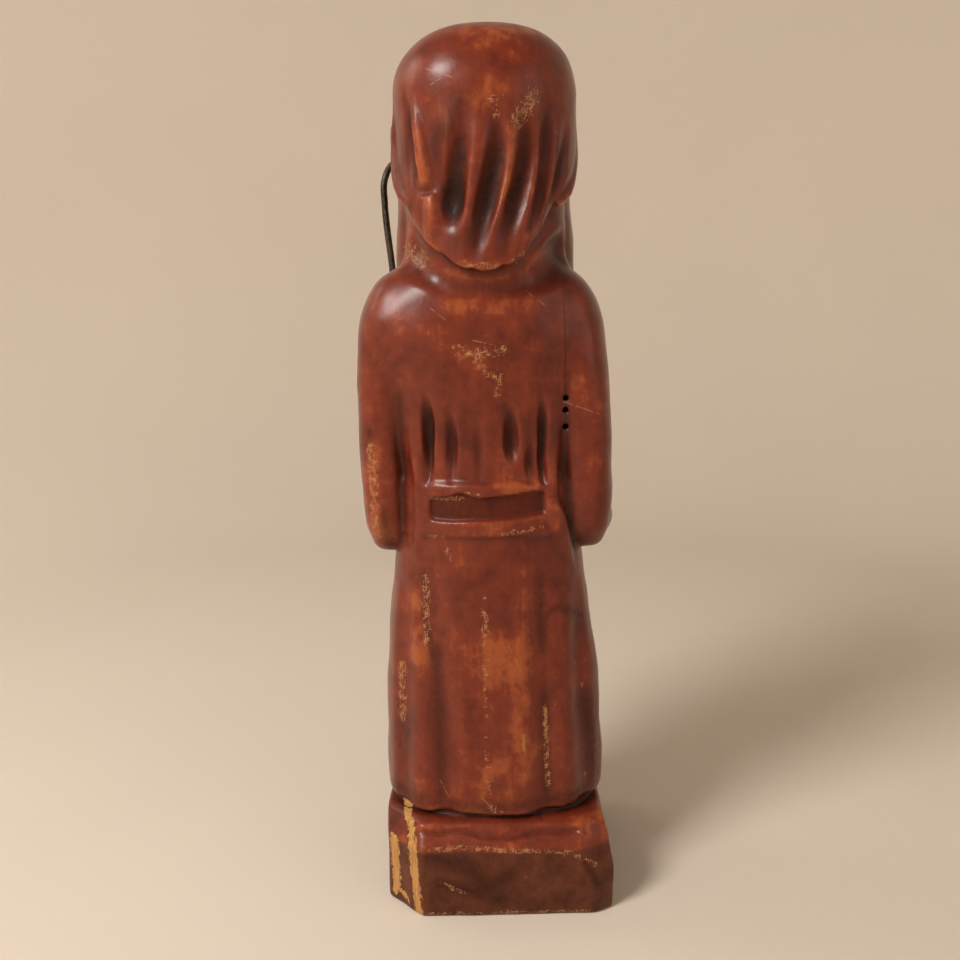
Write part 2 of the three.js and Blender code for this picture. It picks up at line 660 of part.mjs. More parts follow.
const model = new THREE.Group();
model.add(figure, crook);

export default model;
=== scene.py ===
"""Carved wooden figure with a bent wire crook: the look of the real thing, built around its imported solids.

The figure is carved as a field of distances, as a block would be: forms are joined, gouge strokes are
cut, and the skin of what is left becomes the mesh. Lengths of the carving are millimetres in the
figure's own frame, +Z up, its back towards +Y.
"""

import math

import bpy
import numpy as np
import openvdb
from mathutils import Matrix, Vector


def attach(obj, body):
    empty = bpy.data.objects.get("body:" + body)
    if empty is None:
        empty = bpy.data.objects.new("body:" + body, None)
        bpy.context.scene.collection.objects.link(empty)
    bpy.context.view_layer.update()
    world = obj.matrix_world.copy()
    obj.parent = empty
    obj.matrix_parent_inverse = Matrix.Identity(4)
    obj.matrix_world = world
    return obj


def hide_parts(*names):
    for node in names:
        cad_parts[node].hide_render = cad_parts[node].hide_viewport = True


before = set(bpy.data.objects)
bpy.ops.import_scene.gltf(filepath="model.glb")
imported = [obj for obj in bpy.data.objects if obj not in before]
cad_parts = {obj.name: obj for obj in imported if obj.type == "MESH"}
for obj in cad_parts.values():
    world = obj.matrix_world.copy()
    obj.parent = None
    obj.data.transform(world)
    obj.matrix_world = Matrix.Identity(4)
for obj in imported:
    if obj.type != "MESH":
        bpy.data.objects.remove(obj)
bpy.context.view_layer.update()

bl_info = {
    "name": "Carved wooden figure",
    "version": (1, 0, 0),
    "blender": (4, 5, 0),
    "location": "3D View > Sidebar > Figure",
    "description": "Carves and varnishes a robed wooden figure with a wire crook",
    "category": "Object",
}

MM = 0.001

# Overall sizes of the block
HEIGHT = 376.8
DOME_BASE = 345
HEAD_CENTRE_X = -0.8
HEAD_CENTRE_Y = 3
HEAD_HALF_WIDTH = 38
HEAD_HALF_DEPTH = 41
HAIR_TIP = 278
HAIR_SIDE = 317
SLEEVE_END = 158.5
HEM = 45
PLINTH_LEFT = 49
PLINTH_RIGHT = -51.2
PLINTH_BACK = 47.5
PLINTH_FRONT = 52

# Plinth: height, inset at the back, inset at the front
PLINTH_PROFILE = [
    [0, 0.8, 0.8], [1.5, 0, 0], [31, 0, 0], [32.5, 0.8, 0.8], [37, 4, 9.6], [40.5, 5.8, 10.6], [42.4, 9.4, 11.6],
]
CORNER_SLOPE_FOOT = 20.5
HEM_DROP = 3.5

# Wire crook
WIRE_DIAMETER = 3.2
WIRE_CLEARANCE = 0.35
WIRE_Y = -45.5
CROOK_RADIUS = 12

# Middle line of the block: height, X
AXIS = [[0, -0.3], [95, -0.2], [130, 0.8], [190, 1.1], [230, 2], [276, 2.7], [284, 1.2], [300, -0.4]]

# Trunk: height, half width, depth to the back, depth to the front, squareness of the ring
TRUNK = [
    [40, 49.4, 41, 40.5, 2.7], [54, 49.9, 41.2, 41, 2.7], [80, 49.4, 39.8, 40, 2.7],
    [124, 46, 37.4, 38.4, 2.5], [142, 43.6, 36.4, 37.6, 2.4], [156, 41.8, 36, 37.2, 2.4],
    [167, 40.6, 36.1, 37.2, 2.4], [170, 41, 37.9, 38.8, 2.4], [176, 41, 38.2, 39.2, 2.4],
    [186, 41, 38.2, 39.2, 2.4], [190, 40.8, 37.9, 38.8, 2.4], [193.5, 40.4, 35.6, 36.4, 2.4],
    [208, 42, 35, 35.4, 2.5], [228, 45.6, 34.8, 34.2, 2.6], [248, 49, 34.5, 32.6, 2.8],
    [258, 49.8, 34, 31.2, 2.8], [265, 48, 33.2, 29.8, 2.7], [271, 45, 32.2, 27.6, 2.6],
    [276, 41, 31.2, 25, 2.5], [280.5, 34.5, 30.4, 22, 2.4], [288, 31.4, 29.8, 20, 2.3],
]

# Sleeve: height, outer edge, middle in Y, depth to the back, depth to the front
SLEEVE = [
    [150, 46, 7, 8, 9], [158.5, 50, 7, 10.5, 11], [165.5, 52.3, 7, 14, 14], [172, 53.7, 6.5, 15.6, 15],
    [184, 55, 6, 16.8, 15.5], [204, 55.3, 5, 18.4, 16.5], [224, 55, 4.5, 20, 17.2],
    [242, 54, 3.5, 21.4, 17.5], [254, 52.2, 3, 22.2, 17], [262, 49.8, 3, 21.8, 16],
    [268, 47.4, 3, 20.4, 15], [273, 44.4, 3, 18, 13], [279, 38, 3, 12.6, 10],
]
# Side of the sleeve, its inner edge at the elbow, and how much fuller its back is
SLEEVE_SIDES = [(1, 34.4, 0.8), (-1, 29.6, 4.6)]
SHOULDER_INNER = 24

# Gouge strokes of the hair at the back: radius, then X, Z and depth below the surface
HAIR_STROKES = [
    (5.6, [[6.2, 341, -1], [8.1, 332, 1.4], [10.2, 323, 3], [12.2, 312, 4.4], [13.5, 303, 4.8], [13.6, 296, 1]]),
    (5.4, [[-5.6, 341, -1], [-4.9, 334, 1.2], [-4.7, 323, 3], [-2.6, 312, 3.8], [0.1, 302, 3.8], [2.6, 293, 2.6],
           [4.8, 284, 1]]),
    (5.4, [[-16.3, 339, -0.6], [-16.5, 332, 1.6], [-16.3, 322, 3], [-14.4, 312, 3.4], [-11, 301, 3.2],
           [-8.4, 292, 1.8], [-6.8, 284, 0.6]]),
    (4.2, [[-25.2, 342, -1], [-25.2, 334, 1.6], [-24.6, 320, 2.4], [-21.8, 305, 2.6], [-18.4, 294, 1.2]]),
    (3.6, [[-32.8, 338, -1], [-31.6, 322, 1.8], [-28.4, 305, 2.4], [-25, 297, 1]]),
    (2.6, [[30.8, 350, -0.6], [29.6, 336, 1.6], [29.2, 321, 1.8], [28.6, 312, 1.2], [28, 306, 0]]),
    (9, [[21, 341, -0.6], [20, 331, 1], [19.2, 320, 1.7], [18.4, 310, 1.9], [17.4, 300, 0.4]]),
]
# Raised locks: depth of the middle line below the surface, then X, Z and radius
HAIR_LOCKS = [
    (-1.2, [[27.9, 349, 0.8], [26.6, 336, 2.8], [25.3, 324, 3.4], [24.2, 315, 2.8], [23.2, 309.5, 0.8]]),
    (-2.9, [[22.6, 306.6, 3.6], [22, 300, 4.5], [21.8, 294.6, 4.6]]),
]

# Gathers of the robe above the belt: X, top, bottom, depth, radius
PLEATS = [
    [25.9, 228, 193, 2.6, 2.8], [15.9, 222, 194, 2, 2.6], [4.6, 217, 195, 1.2, 3],
    [-9, 223, 199, 2.8, 3], [-17.2, 211, 192.6, 2, 2.6], [-22.6, 227, 192.6, 2.2, 2.6],
]

# Long folds of the skirt: side of the body (1 back, -1 front), radius, then X, Z and depth
FOLDS = [
    (1, 9, [[26.5, 156, -1.5], [25.5, 132, 1.4], [23.8, 100, 2.4], [22.6, 70, 2.4], [22.5, 38, 0.6]]),
    (1, 9, [[-20, 154, -1.5], [-21, 132, 1.2], [-21.6, 100, 2.1], [-22, 70, 2], [-22, 38, 0.5]]),
    (1, 7, [[37.5, 142, -1.5], [38.5, 120, 1], [40, 80, 1.4], [41, 38, 0.4]]),
    (1, 7, [[-37.5, 142, -1.5], [-38.5, 120, 1.2], [-40, 80, 1.6], [-41, 38, 0.4]]),
    (-1, 8, [[13, 162, -1.5], [13.5, 140, 1.6], [15, 100, 2.4], [16, 38, 2.6]]),
    (-1, 8, [[-8, 162, -1.5], [-8.5, 140, 1.6], [-9, 100, 2.4], [-9, 38, 2.6]]),
    (-1, 8, [[-27, 158, -1.5], [-27.5, 135, 1.4], [-30, 100, 2.2], [-31, 38, 2.4]]),
    (-1, 7, [[33, 152, -1.5], [34, 130, 1.2], [36, 90, 1.8], [37, 38, 1.8]]),
]

# Concave band under the hair at the nape: X, Z and depth
NAPE = [[28, 287, 0.3], [20, 277, 1], [10, 271.5, 1.4], [0, 270, 1.5], [-10, 271.5, 1.4], [-20, 277, 1], [-28, 287, 0.3]]

# Sunk panel of the belt: X, bottom, top
BELT_PANEL = [
    [-25, 177.6, 186.7], [-16.5, 176.9, 187.2], [-3.8, 175.9, 186.4], [4.3, 175.7, 185.9], [12.6, 175.6, 187.8],
    [18, 175.7, 185.8], [24.8, 176, 184.9],
]

# Folds of the robe beside the arms: X, Z, depth of the middle line, radius
GOWN_FOLDS = [
    [(-27.8, 224, -3.6, 2.4), (-27.2, 206, -2.8, 3.6), (-26.2, 190.5, -0.7, 3.2), (-26.4, 184, -2, 3.4),
     (-28.2, 174, -0.6, 4.4), (-31.5, 163, -0.9, 4), (-36, 151, -3, 2.6)],
    [(32, 228, -3.6, 2.6), (31.6, 206, -3, 3.8), (30.6, 190, -3.4, 4), (30.6, 176, -3.6, 4.2),
     (31.6, 162, -3.2, 3.6), (33, 150, -4, 2.6)],
]

# Crease of the plinth's ledge at the back: X, Z
LEDGE_CREASE = [
    [37.5, 38.2], [31, 38.6], [24.6, 37.6], [17, 38.6], [12, 38.2], [7.2, 36.6], [0, 36], [-5.9, 35.9], [-13, 36.8],
    [-19.1, 37.8], [-27, 37.6], [-35, 38],
]

# Hair that falls in front of the shoulders: height, X, Y, half width, depths to the back and front
CURTAIN = [
    [240, 25, -31, 2, 1, 2], [243, 25.5, -31, 4, 3, 4], [250, 27.5, -30, 6.2, 6, 6],
    [262, 30, -25, 8, 10, 9], [276, 31.6, -15, 8, 16, 15], [292, 31.2, -10, 7.6, 19, 17],
    [308, 30.4, -10, 7, 20, 16], [324, 30, -12, 7, 16, 13], [342, 29, -14, 7, 7, 11],
    [360, 24, -14, 6, 4, 8],
]

# Beard: height, half width, middle in Y, depth to the front
BEARD = [
    [218, 2, -31, 3], [221, 4, -31, 5], [226, 10, -31, 8.5], [236, 16, -30, 11],
    [250, 20.5, -28.5, 13.5], [266, 23, -27, 16], [282, 24.5, -25, 17.5], [294, 25, -22, 19],
    [303.5, 24.5, -20, 18.4], [311, 23.5, -20, 14],
]

# Face: calm and regular, the eyes halfway up the head and the nose a third of the face long
EYE_X = 12.5
EYE_Z = 333
BROW_Z = 341
NOSE_BASE_Z = 318
MOUTH_Z = 306.5
HAIRLINE_Z = 361
CHEEK = 326
JAW = 286

# Lower edge of the hair from behind, a deep U: X, height
HAIR_EDGE = [
    [-39, 327], [-37.2, 319], [-33.5, 311], [-28.1, 303], [-23.5, 296], [-19.3, 289.4], [-15.2, 283.2],
    [-7.4, 278.4], [0.6, 277], [8.6, 278.4], [16.4, 282.6], [24.3, 289], [27.1, 292.6], [31.1, 300], [34.3, 308],
    [36.6, 317], [38.2, 327],
]

# Forehead and temples, sunk below the hairline: X, bottom, top
FOREHEAD = [[x, 318, HAIRLINE_Z - 12 * abs(x / 23) ** 2.6] for x in range(-24, 25, 4)]

# Hands
FIST = [38.4, WIRE_Y, 204]
FINGER_RADIUS = 2.9


# Distances and tables

def smooth(low, high, value):
    t = np.clip((value - low) / (high - low), 0, 1)
    return t * t * (3 - 2 * t)


def join(a, b, blend):
    """Union of two fields, with a fillet of a blend length."""
    h = np.clip(0.5 + 0.5 * (b - a) / blend, 0, 1)
    return b + (a - b) * h - blend * h * (1 - h)


def trim(a, b, blend):
    """What two fields share, with a softened edge."""
    return -join(-a, -b, blend)


def follow(table, heights):
    """Columns of a table at some heights: a monotone cubic through its rows."""
    rows = np.array(table, dtype=float)
    z, values = rows[:, 0], rows[:, 1:]
    slopes = np.diff(values, axis=0) / np.diff(z)[:, None]
    tangents = np.empty_like(values)
    tangents[0], tangents[-1] = slopes[0], slopes[-1]
    product = slopes[:-1] * slopes[1:]
    total = slopes[:-1] + slopes[1:]
    turns = product > 0
    tangents[1:-1] = np.where(turns, 2 * product / np.where(turns, total, 1), 0)
    place = np.clip(heights, z[0], z[-1])
    row = np.clip(np.searchsorted(z, place, side="right") - 1, 0, len(z) - 2)
    span = (z[row + 1] - z[row])[..., None]
    s = (place - z[row])[..., None] / span
    found = (2 * s**3 - 3 * s**2 + 1) * values[row] + (s**3 - 2 * s**2 + s) * span * tangents[row]
    found += (3 * s**2 - 2 * s**3) * values[row + 1] + (s**3 - s**2) * span * tangents[row + 1]
    return np.moveaxis(found, -1, 0).astype(np.float32)


def smooth_path(points, steps):
    """A smooth line through rows of numbers, evenly stepped by the first three columns' length."""
    rows = np.array(points, dtype=float)
    gaps = np.linalg.norm(np.diff(rows[:, :3], axis=0), axis=1)
    along = np.concatenate([[0], np.cumsum(gaps)])
    tangents = np.gradient(rows, along, axis=0, edge_order=1)
    place = np.linspace(0, along[-1], steps)
    row = np.clip(np.searchsorted(along, place, side="right") - 1, 0, len(rows) - 2)
    span = (along[row + 1] - along[row])[:, None]
    s = (place - along[row])[:, None] / span
    line = (2 * s**3 - 3 * s**2 + 1) * rows[row] + (s**3 - 2 * s**2 + s) * span * tangents[row]
    line += (3 * s**2 - 2 * s**3) * rows[row + 1] + (s**3 - s**2) * span * tangents[row + 1]
    return line


class Form:
    """A shape as a field of distances, inside negative, with the box that it lies in."""

    def __init__(self, distance, low, high):
        self.distance = distance
        self.low = np.array(low, dtype=float)
        self.high = np.array(high, dtype=float)


def ring_distance(x, y, ring):
    """Distance to a squared ellipse: (X, Y, half width, depth to the back, to the front, power)."""
    centre_x, centre_y, half, back, front, power = ring
    dx = x - centre_x
    dy = y - centre_y
    share = (np.abs(dx / half) ** power + np.abs(dy / np.where(dy > 0, back, front)) ** power) ** (1 / power)
    return np.hypot(dx, dy) * (1 - 1 / np.maximum(share, 1e-3))


def stack(ring_at, low, high, reach, rounding=2.0):
    """Form of rings between two heights; reach is the box of all its rings in X and Y."""
    def distance(x, y, z):
        ends = np.maximum(low - z, z - high)
        return trim(ring_distance(x, y, ring_at(z)), ends, rounding)
    (x0, x1), (y0, y1) = reach
    return Form(distance, (x0, y0, low), (x1, y1, high))


def rod(stations, steps=12):
    """Round rod through stations of [x, y, z, radius]."""
    line = smooth_path(stations, steps).astype(np.float32)

    def distance(x, y, z):
        best = None
        for start, end in zip(line[:-1], line[1:]):
            run = end[:3] - start[:3]
            length = float(run @ run)
            px, py, pz = x - start[0], y - start[1], z - start[2]
            t = np.clip((px * run[0] + py * run[1] + pz * run[2]) / length, 0, 1)
            gap = np.sqrt((px - t * run[0]) ** 2 + (py - t * run[1]) ** 2 + (pz - t * run[2]) ** 2)
            gap -= start[3] + (end[3] - start[3]) * t
            best = gap if best is None else np.minimum(best, gap)
        return best

    thickest = line[:, 3].max()
    return Form(distance, line[:, :3].min(0) - thickest, line[:, :3].max(0) + thickest)


def ellipsoid(centre, radii):
    def distance(x, y, z):
        offsets = [(value - middle) for value, middle in zip((x, y, z), centre)]
        near = np.sqrt(sum((value / radius) ** 2 for value, radius in zip(offsets, radii)))
        slope = np.sqrt(sum((value / radius**2) ** 2 for value, radius in zip(offsets, radii)))
        return near * (near - 1) / np.maximum(slope, 1e-4)
    return Form(distance, np.subtract(centre, radii), np.add(centre, radii))


class Block:
    """A block of wood as distances on an even grid; bare keeps its forms without their cuts."""

    def __init__(self, axes):
        self.axes = axes
        self.field = np.full([len(axis) for axis in axes], 50, dtype=np.float32)
        self.bare = self.field.copy()

    @classmethod
    def between(cls, low, high, pitch):
        return cls([np.arange(a, b + pitch, pitch, dtype=np.float32) for a, b in zip(low, high)])

    def window(self, low, high, margin=10):
        return tuple(
            slice(int(np.searchsorted(axis, a - margin)), int(np.searchsorted(axis, b + margin)))
            for axis, a, b in zip(self.axes, low, high)
        )

    def places(self, window):
        x, y, z = [axis[part] for axis, part in zip(self.axes, window)]
        return x[:, None, None], y[None, :, None], z[None, None, :]

    def piece(self, low, high):
        """Bare block on the same grid, for a form that is cut before it is joined."""
        window = self.window(low, high)
        part = Block([axis[cut] for axis, cut in zip(self.axes, window)])
        part.spot = window
        return part

    def add(self, form, blend=1.0):
        """Joins a form; its blend is a length or a function of the height."""
        window = self.window(form.low, form.high)
        x, y, z = self.places(window)
        distance = form.distance(x, y, z)
        fillet = blend(z) if callable(blend) else blend
        self.field[window] = join(self.field[window], distance, fillet)
        self.bare[window] = join(self.bare[window], distance, fillet)

    def cut(self, form, blend=1.0, shallow=False):
        """Cuts a form away; a shallow cut is not darkened by its depth, as deep cuts are with dirt and painted shade,
        and comes off the bare forms too.
        """
        window = self.window(form.low, form.high, 4)
        x, y, z = self.places(window)
        around = -form.distance(x, y, z)
        self.field[window] = trim(self.field[window], around, blend)
        if shallow:
            self.bare[window] = trim(self.bare[window], around, blend)

    def take_in(self, part, blend):
        self.field[part.spot] = join(self.field[part.spot], part.field, blend)
        self.bare[part.spot] = join(self.bare[part.spot], part.bare, blend)


def axis_x(z):
    return follow(AXIS, z)[0]


def trunk_ring(z):
    half, back, front, power = follow(TRUNK, z)
    return axis_x(z), 0, half, back, front, power


def head_ring(z):
    rise = np.clip((z - DOME_BASE) / (HEIGHT - DOME_BASE), 0, 1)
    width = (1 - rise**2.45) ** (1 / 2.45)
    depth = (1 - rise**2.25) ** (1 / 2.25)
    below = np.maximum(0, DOME_BASE - z) / (DOME_BASE - HAIR_TIP)
    half = np.maximum(0.5, HEAD_HALF_WIDTH * width - 1.4 * below)
    back = np.maximum(0.5, HEAD_HALF_DEPTH * depth - 2.4 * below)
    front = np.maximum(0.5, HEAD_HALF_DEPTH * depth - 1.5 * below)
    return HEAD_CENTRE_X, HEAD_CENTRE_Y, half, back, front, 2.3


def beard_ring(z):
    half, y, front = follow(BEARD, z)
    return 0, y, half, 12, front, 2.2


def curtain_ring(sign):
    def ring_at(z):
        x, y, half, back, front = follow(CURTAIN, z)
        return sign * x, y, half, back, front, 2.2
    return ring_at


def surface_point(ring_at, side, x, z, outwards):
    """Point of a form's back (1) or front (-1) at an X and a height, moved outwards."""
    centre_x, centre_y, half, back, front, power = ring_at(np.float32(z))
    depth = back if side > 0 else front
    u = np.clip((x - centre_x) / half, -0.97, 0.97)
    v = (1 - abs(u) ** power) ** (1 / power)
    normal = np.array([np.sign(u) * abs(u) ** (power - 1) / half, v ** (power - 1) / depth])
    normal /= np.hypot(*normal)
    return [centre_x + u * half + outwards * normal[0], centre_y + side * (v * depth + outwards * normal[1]), z]


def stroke(ring_at, side, radius, points):
    """The way of a gouge over a form: points of X, Z and depth below the surface."""
    line = smooth_path([[x, 0, z, depth] for x, z, depth in points], 4 * len(points))
    stations = [
        surface_point(ring_at, side, x, z, radius - depth) + [radius] for x, _, z, depth in line
    ]
    return rod(stations, 5 * len(points))


def panel(ring_at, side, middle, half_width, edges, depth, rounding=1.2):
    """Tool that sinks a panel into a form between its lower and upper edge: rows of X, bottom, top."""
    def distance(x, y, z):
        under = -ring_distance(x, y, ring_at(z)) - depth
        across = np.abs(x - middle) - half_width
        bottom, top = follow(edges, x)
        ends = np.maximum(bottom - z, z - top)
        facing = -side * y
        return trim(trim(trim(across, ends, rounding), under, rounding), facing, rounding)
    _, bottoms, tops = np.transpose(edges)
    low = (middle - half_width, -60 if side < 0 else 0, min(bottoms))
    return Form(distance, low, (middle + half_width, 0 if side < 0 else 60, max(tops)))


# The forms of the figure

def plinth():
    """A block with its corners cut off, a sloped ledge and the top that the hem hangs over."""
    heights, back_inset, front_inset = np.transpose(PLINTH_PROFILE)
    slope_normal = (-0.457, 0.854, 0.247)
    slope_point = (PLINTH_RIGHT + 8.4, PLINTH_BACK, CORNER_SLOPE_FOOT)

    def distance(x, y, z):
        inset = np.interp(z, heights, back_inset).astype(np.float32)
        left = PLINTH_LEFT - 0.05 * inset
        right = PLINTH_RIGHT + 0.1 * inset + 0.13 * np.maximum(0, z - CORNER_SLOPE_FOOT)
        back = PLINTH_BACK - inset
        front = np.interp(z, heights, front_inset).astype(np.float32) - PLINTH_FRONT
        faces = [x - left, right - x, y - back, front - y, z - heights[-1]]
        cuts = [(left, back, 1, 1, 16, 16), (right, back, -1, 1, 8.4, 4.5), (right, front, -1, -1, 8, 8),
                (left, front, 1, -1, 8, 8)]
        for corner_x, corner_y, toward_x, toward_y, along_x, along_y in cuts:
            run = math.hypot(along_x, along_y)
            faces.append(((x - corner_x) * toward_x * along_y + (y - corner_y) * toward_y * along_x
                          + along_x * along_y) / run)
        faces.append(sum(n * (value - p) for n, value, p in zip(slope_normal, (x, y, z), slope_point)))
        whole = faces[0]
        for face in faces[1:]:
            whole = trim(whole, face, 1.4)
        return whole
    return Form(distance, (PLINTH_RIGHT, -PLINTH_FRONT, 0), (PLINTH_LEFT, PLINTH_BACK, heights[-1]))


def ledge_crease():
    """Wavy step that the chisel left along the ledge at the back."""
    heights, back_inset, _ = np.transpose(PLINTH_PROFILE)
    return rod([[x, PLINTH_BACK - np.interp(z, heights, back_inset) + 0.4, z, 1.3] for x, z in LEDGE_CREASE], 34)


def skirt_and_body():
    """Trunk down to the hem, with a core that stands on the plinth inside the overhanging hem."""
    def distance(x, y, z):
        hem = HEM - 0.4 + 1.2 * (x / 50) ** 2 + 0.5 * np.sin(x / 7)
        side = ring_distance(x, y, trunk_ring(z))
        return np.minimum(trim(side, hem - z, 1.6), np.maximum(side + HEM_DROP, 36 - z))
    return Form(distance, (-52, -42, 36), (54, 42, 288))


def gown_fold(points):
    """Fold of the robe that comes out beside an arm and hangs over the end of the belt."""
    return rod([surface_point(trunk_ring, 1, x, z, sunk) + [radius] for x, z, sunk, radius in points], 24)


def sleeve(sign, elbow_inner, fuller):
    def ring_at(z):
        outer, y, back, front = follow(SLEEVE, z)
        back = back + fuller * smooth(158, 170, z) * smooth(268, 235, z)
        inner = elbow_inner + (SHOULDER_INNER - elbow_inner) * smooth(200, 262, z)
        return axis_x(z) + sign * (outer + inner) / 2, y, (outer - inner) / 2, back, front, 2.7
    near, far = sorted((sign * 20, sign * 58))
    return stack(ring_at, SLEEVE_END, 279, ((near, far), (-16, 31)), 4)


def neck():
    return stack(lambda z: (-0.2, 2, 33.6, 28.4, 26, 2.8), 262, 309, ((-34, 34), (-24, 31)), 5)


def hair_edge(x):
    """Lower edge of the hair from behind, faintly nicked between the locks, and its slope."""
    edge = follow(HAIR_EDGE, x)[0]
    steep = np.abs(follow(HAIR_EDGE, x + 1)[0] - follow(HAIR_EDGE, x - 1)[0]) / 2
    for nick in (16.8, 5.4, -6.4, -18):
        edge = edge + 0.9 * np.exp(-(((x - nick) / 1.6) ** 2))
    return edge, steep


def skull():
    """The head with its cap of hair; the underside of the hair turns in towards the neck."""
    def distance(x, y, z):
        ring = head_ring(z)
        dy = y - HEAD_CENTRE_Y
        dx = x - HEAD_CENTRE_X
        out = np.hypot(dx, dy)
        facing = np.clip(-dy / np.maximum(out, 1e-3), 0, 1)
        jaw = 0.24 * smooth(0, CHEEK - JAW, CHEEK - z) * np.sqrt(facing)
        side = ring_distance(dx / (1 - jaw) + HEAD_CENTRE_X, dy / (1 - jaw) + HEAD_CENTRE_Y, ring) * (1 - jaw)
        side = np.maximum(side, z - HEIGHT)
        edge, steep = hair_edge(x)
        edge = np.where(dy > 0, edge, HAIR_SIDE + (JAW - HAIR_SIDE) * np.minimum(1, 2 * facing))
        steep = np.where(dy > 0, steep, 0.8)
        below = (edge - z + 0.45 * np.maximum(0, -side)) / np.sqrt(1.2 + steep**2)
        return trim(side, below, 2.4)
    return Form(distance, (-40, -40, HAIR_TIP - 4), (40, 46, HEIGHT))


def head(block):
    part = block.piece((-42, -50, 268), (42, 48, HEIGHT + 2))
    part.add(skull(), 0.1)
    part.cut(panel(head_ring, -1, 0, 23, FOREHEAD, 1.4))
    for radius, points in HAIR_STROKES:
        part.cut(stroke(head_ring, 1, radius, points), 1.6)
    for sunk, points in HAIR_LOCKS:
        part.add(rod([surface_point(head_ring, 1, x, z, sunk) + [radius] for x, z, radius in points]), 1.2)
    part.cut(stroke(head_ring, 1, 2, [[28.5, 311.4, 0.2], [25.5, 309.2, 1.4], [21, 309.6, 1.2], [18, 311, 0]]), 1)
    for x in (-16.5, -8.5, 0, 8.5, 16.5):
        crown = [[x * 0.8, 356, -0.5], [x, 362, 0.5], [x * 1.02, 368, -0.6]]
        part.cut(stroke(head_ring, -1, 3, crown), 1.2)
    for sign in (1, -1):
        part.cut(ellipsoid((sign * EYE_X, -40.5, EYE_Z), (8.5, 6.6, 5.6)), 1.4)
        part.add(ellipsoid((sign * EYE_X, -31.9, EYE_Z), (6.2, 3.6, 3.2)), 0.6)
        for rise, thick in ((3.4, 1), (-2.8, 0.8)):
            lid = [[sign * (EYE_X - 7), -33.8, EYE_Z - 0.4, thick * 0.7],
                   [sign * EYE_X, -35.3, EYE_Z + rise, thick],
                   [sign * (EYE_X + 6.6), -32.2, EYE_Z - 0.2, thick * 0.7]]
            part.add(rod(lid), 0.8)
        part.add(rod([[sign * 3.5, -36, BROW_Z + 0.5, 2.2], [sign * 12, -34.8, BROW_Z + 2.2, 2.7],
                      [sign * 22, -29, BROW_Z - 1.5, 1.8]]), 2)
        part.add(rod([[sign * 34.4, 13, 348, 1.6], [sign * 35, 11, 339, 2.8], [sign * 35.5, 9.5, 328.6, 3.5],
                      [sign * 34.6, 14, 317.7, 3.6], [sign * 32.2, 20.5, 308.5, 3.2],
                      [sign * 29.4, 26.4, 304.5, 1.8]]), 1.2)
        part.add(rod([[sign * 35.4, -2, 335, 2.2], [sign * 36.2, 3, 338.5, 2.6], [sign * 36.4, 6.5, 332, 2.8],
                      [sign * 36, 6, 323, 2.6], [sign * 34.8, 2, 315, 2.4]]), 1)
    part.add(nose(), 1.4)
    for sign in (1, -1):
        part.add(ellipsoid((sign * 4.6, -39.6, NOSE_BASE_Z + 1.4), (2.6, 4, 2.8)), 1.2)
    return part


def nose():
    rows = [
        [NOSE_BASE_Z - 2.4, 4, 41], [NOSE_BASE_Z - 1, 5.4, 45.4], [NOSE_BASE_Z + 2.5, 5.4, 47.2],
        [NOSE_BASE_Z + 10, 4.2, 44.6], [NOSE_BASE_Z + 18, 3.6, 41], [BROW_Z + 2, 4.4, 38.4],
    ]

    def ring_at(z):
        half, reach = follow(rows, z)
        return 0, -34, half, 6, reach - 34, 1.8
    return stack(ring_at, rows[0][0], rows[-1][0], ((-7, 7), (-48, -28)), 1.4)


def beard(block):
    part = block.piece((-28, -48, 216), (28, -8, 314))
    part.add(stack(beard_ring, 219, 311, ((-26, 26), (-48, -8)), 3), 0.1)
    for x in (-18, -12.6, -7.4, -2.4, 2.6, 7.6, 12.8, 18.2):
        points = [[x * 1.12, 300, -0.6], [x * 1.08, 283, 1.2], [x * 0.92, 256, 1.5], [x * 0.5, 229, 0.8]]
        part.cut(stroke(beard_ring, -1, 2.5, points), 1.2)
    part.add(ellipsoid((0, -33.6, MOUTH_Z + 4), (17, 6, 7)), 1.5)
    for sign in (1, -1):
        whisker = [[sign * 1.2, -39.8, MOUTH_Z + 6.2, 2.7], [sign * 9, -39, MOUTH_Z + 4.5, 3.6],
                   [sign * 17, -35.2, MOUTH_Z - 2, 3], [sign * 21, -32, MOUTH_Z - 10, 1.4]]
        part.add(rod(whisker), 0.7)
        for lift in (1.6, -0.8):
            line = [[x, y - r * 0.86, z + lift, 0.9] for x, y, z, r in whisker[:3]]
            part.cut(rod(line), 0.8)
    part.add(ellipsoid((0, -37.8, MOUTH_Z - 1.2), (6, 3.4, 2)), 0.6)
    part.cut(rod([[-7, -38.4, MOUTH_Z + 0.8, 0.7], [0, -41.4, MOUTH_Z + 1.2, 0.8], [7, -38.4, MOUTH_Z + 0.8, 0.7]]), 0.6)
    return part


def curtain(block, sign):
    near, far = sorted((sign * 17, sign * 41))
    part = block.piece((near, -44, 238), (far, 6, 362))
    ring_at = curtain_ring(sign)
    part.add(stack(ring_at, 242, 360, ((near, far), (-42, 6)), 3), 0.1)
    for angle in (250, 285, 320, 350):
        turn = math.radians(angle)
        stations = []
        for z in (352, 335, 315, 295, 275, 258, 248):
            x, y, half, back, front, power = ring_at(np.float32(z))
            stations.append([x + sign * (half + 1.2) * math.cos(turn), y + (front + 1.2) * math.sin(turn), z, 2.1])
        part.cut(rod(stations, 24), 1)
    return part


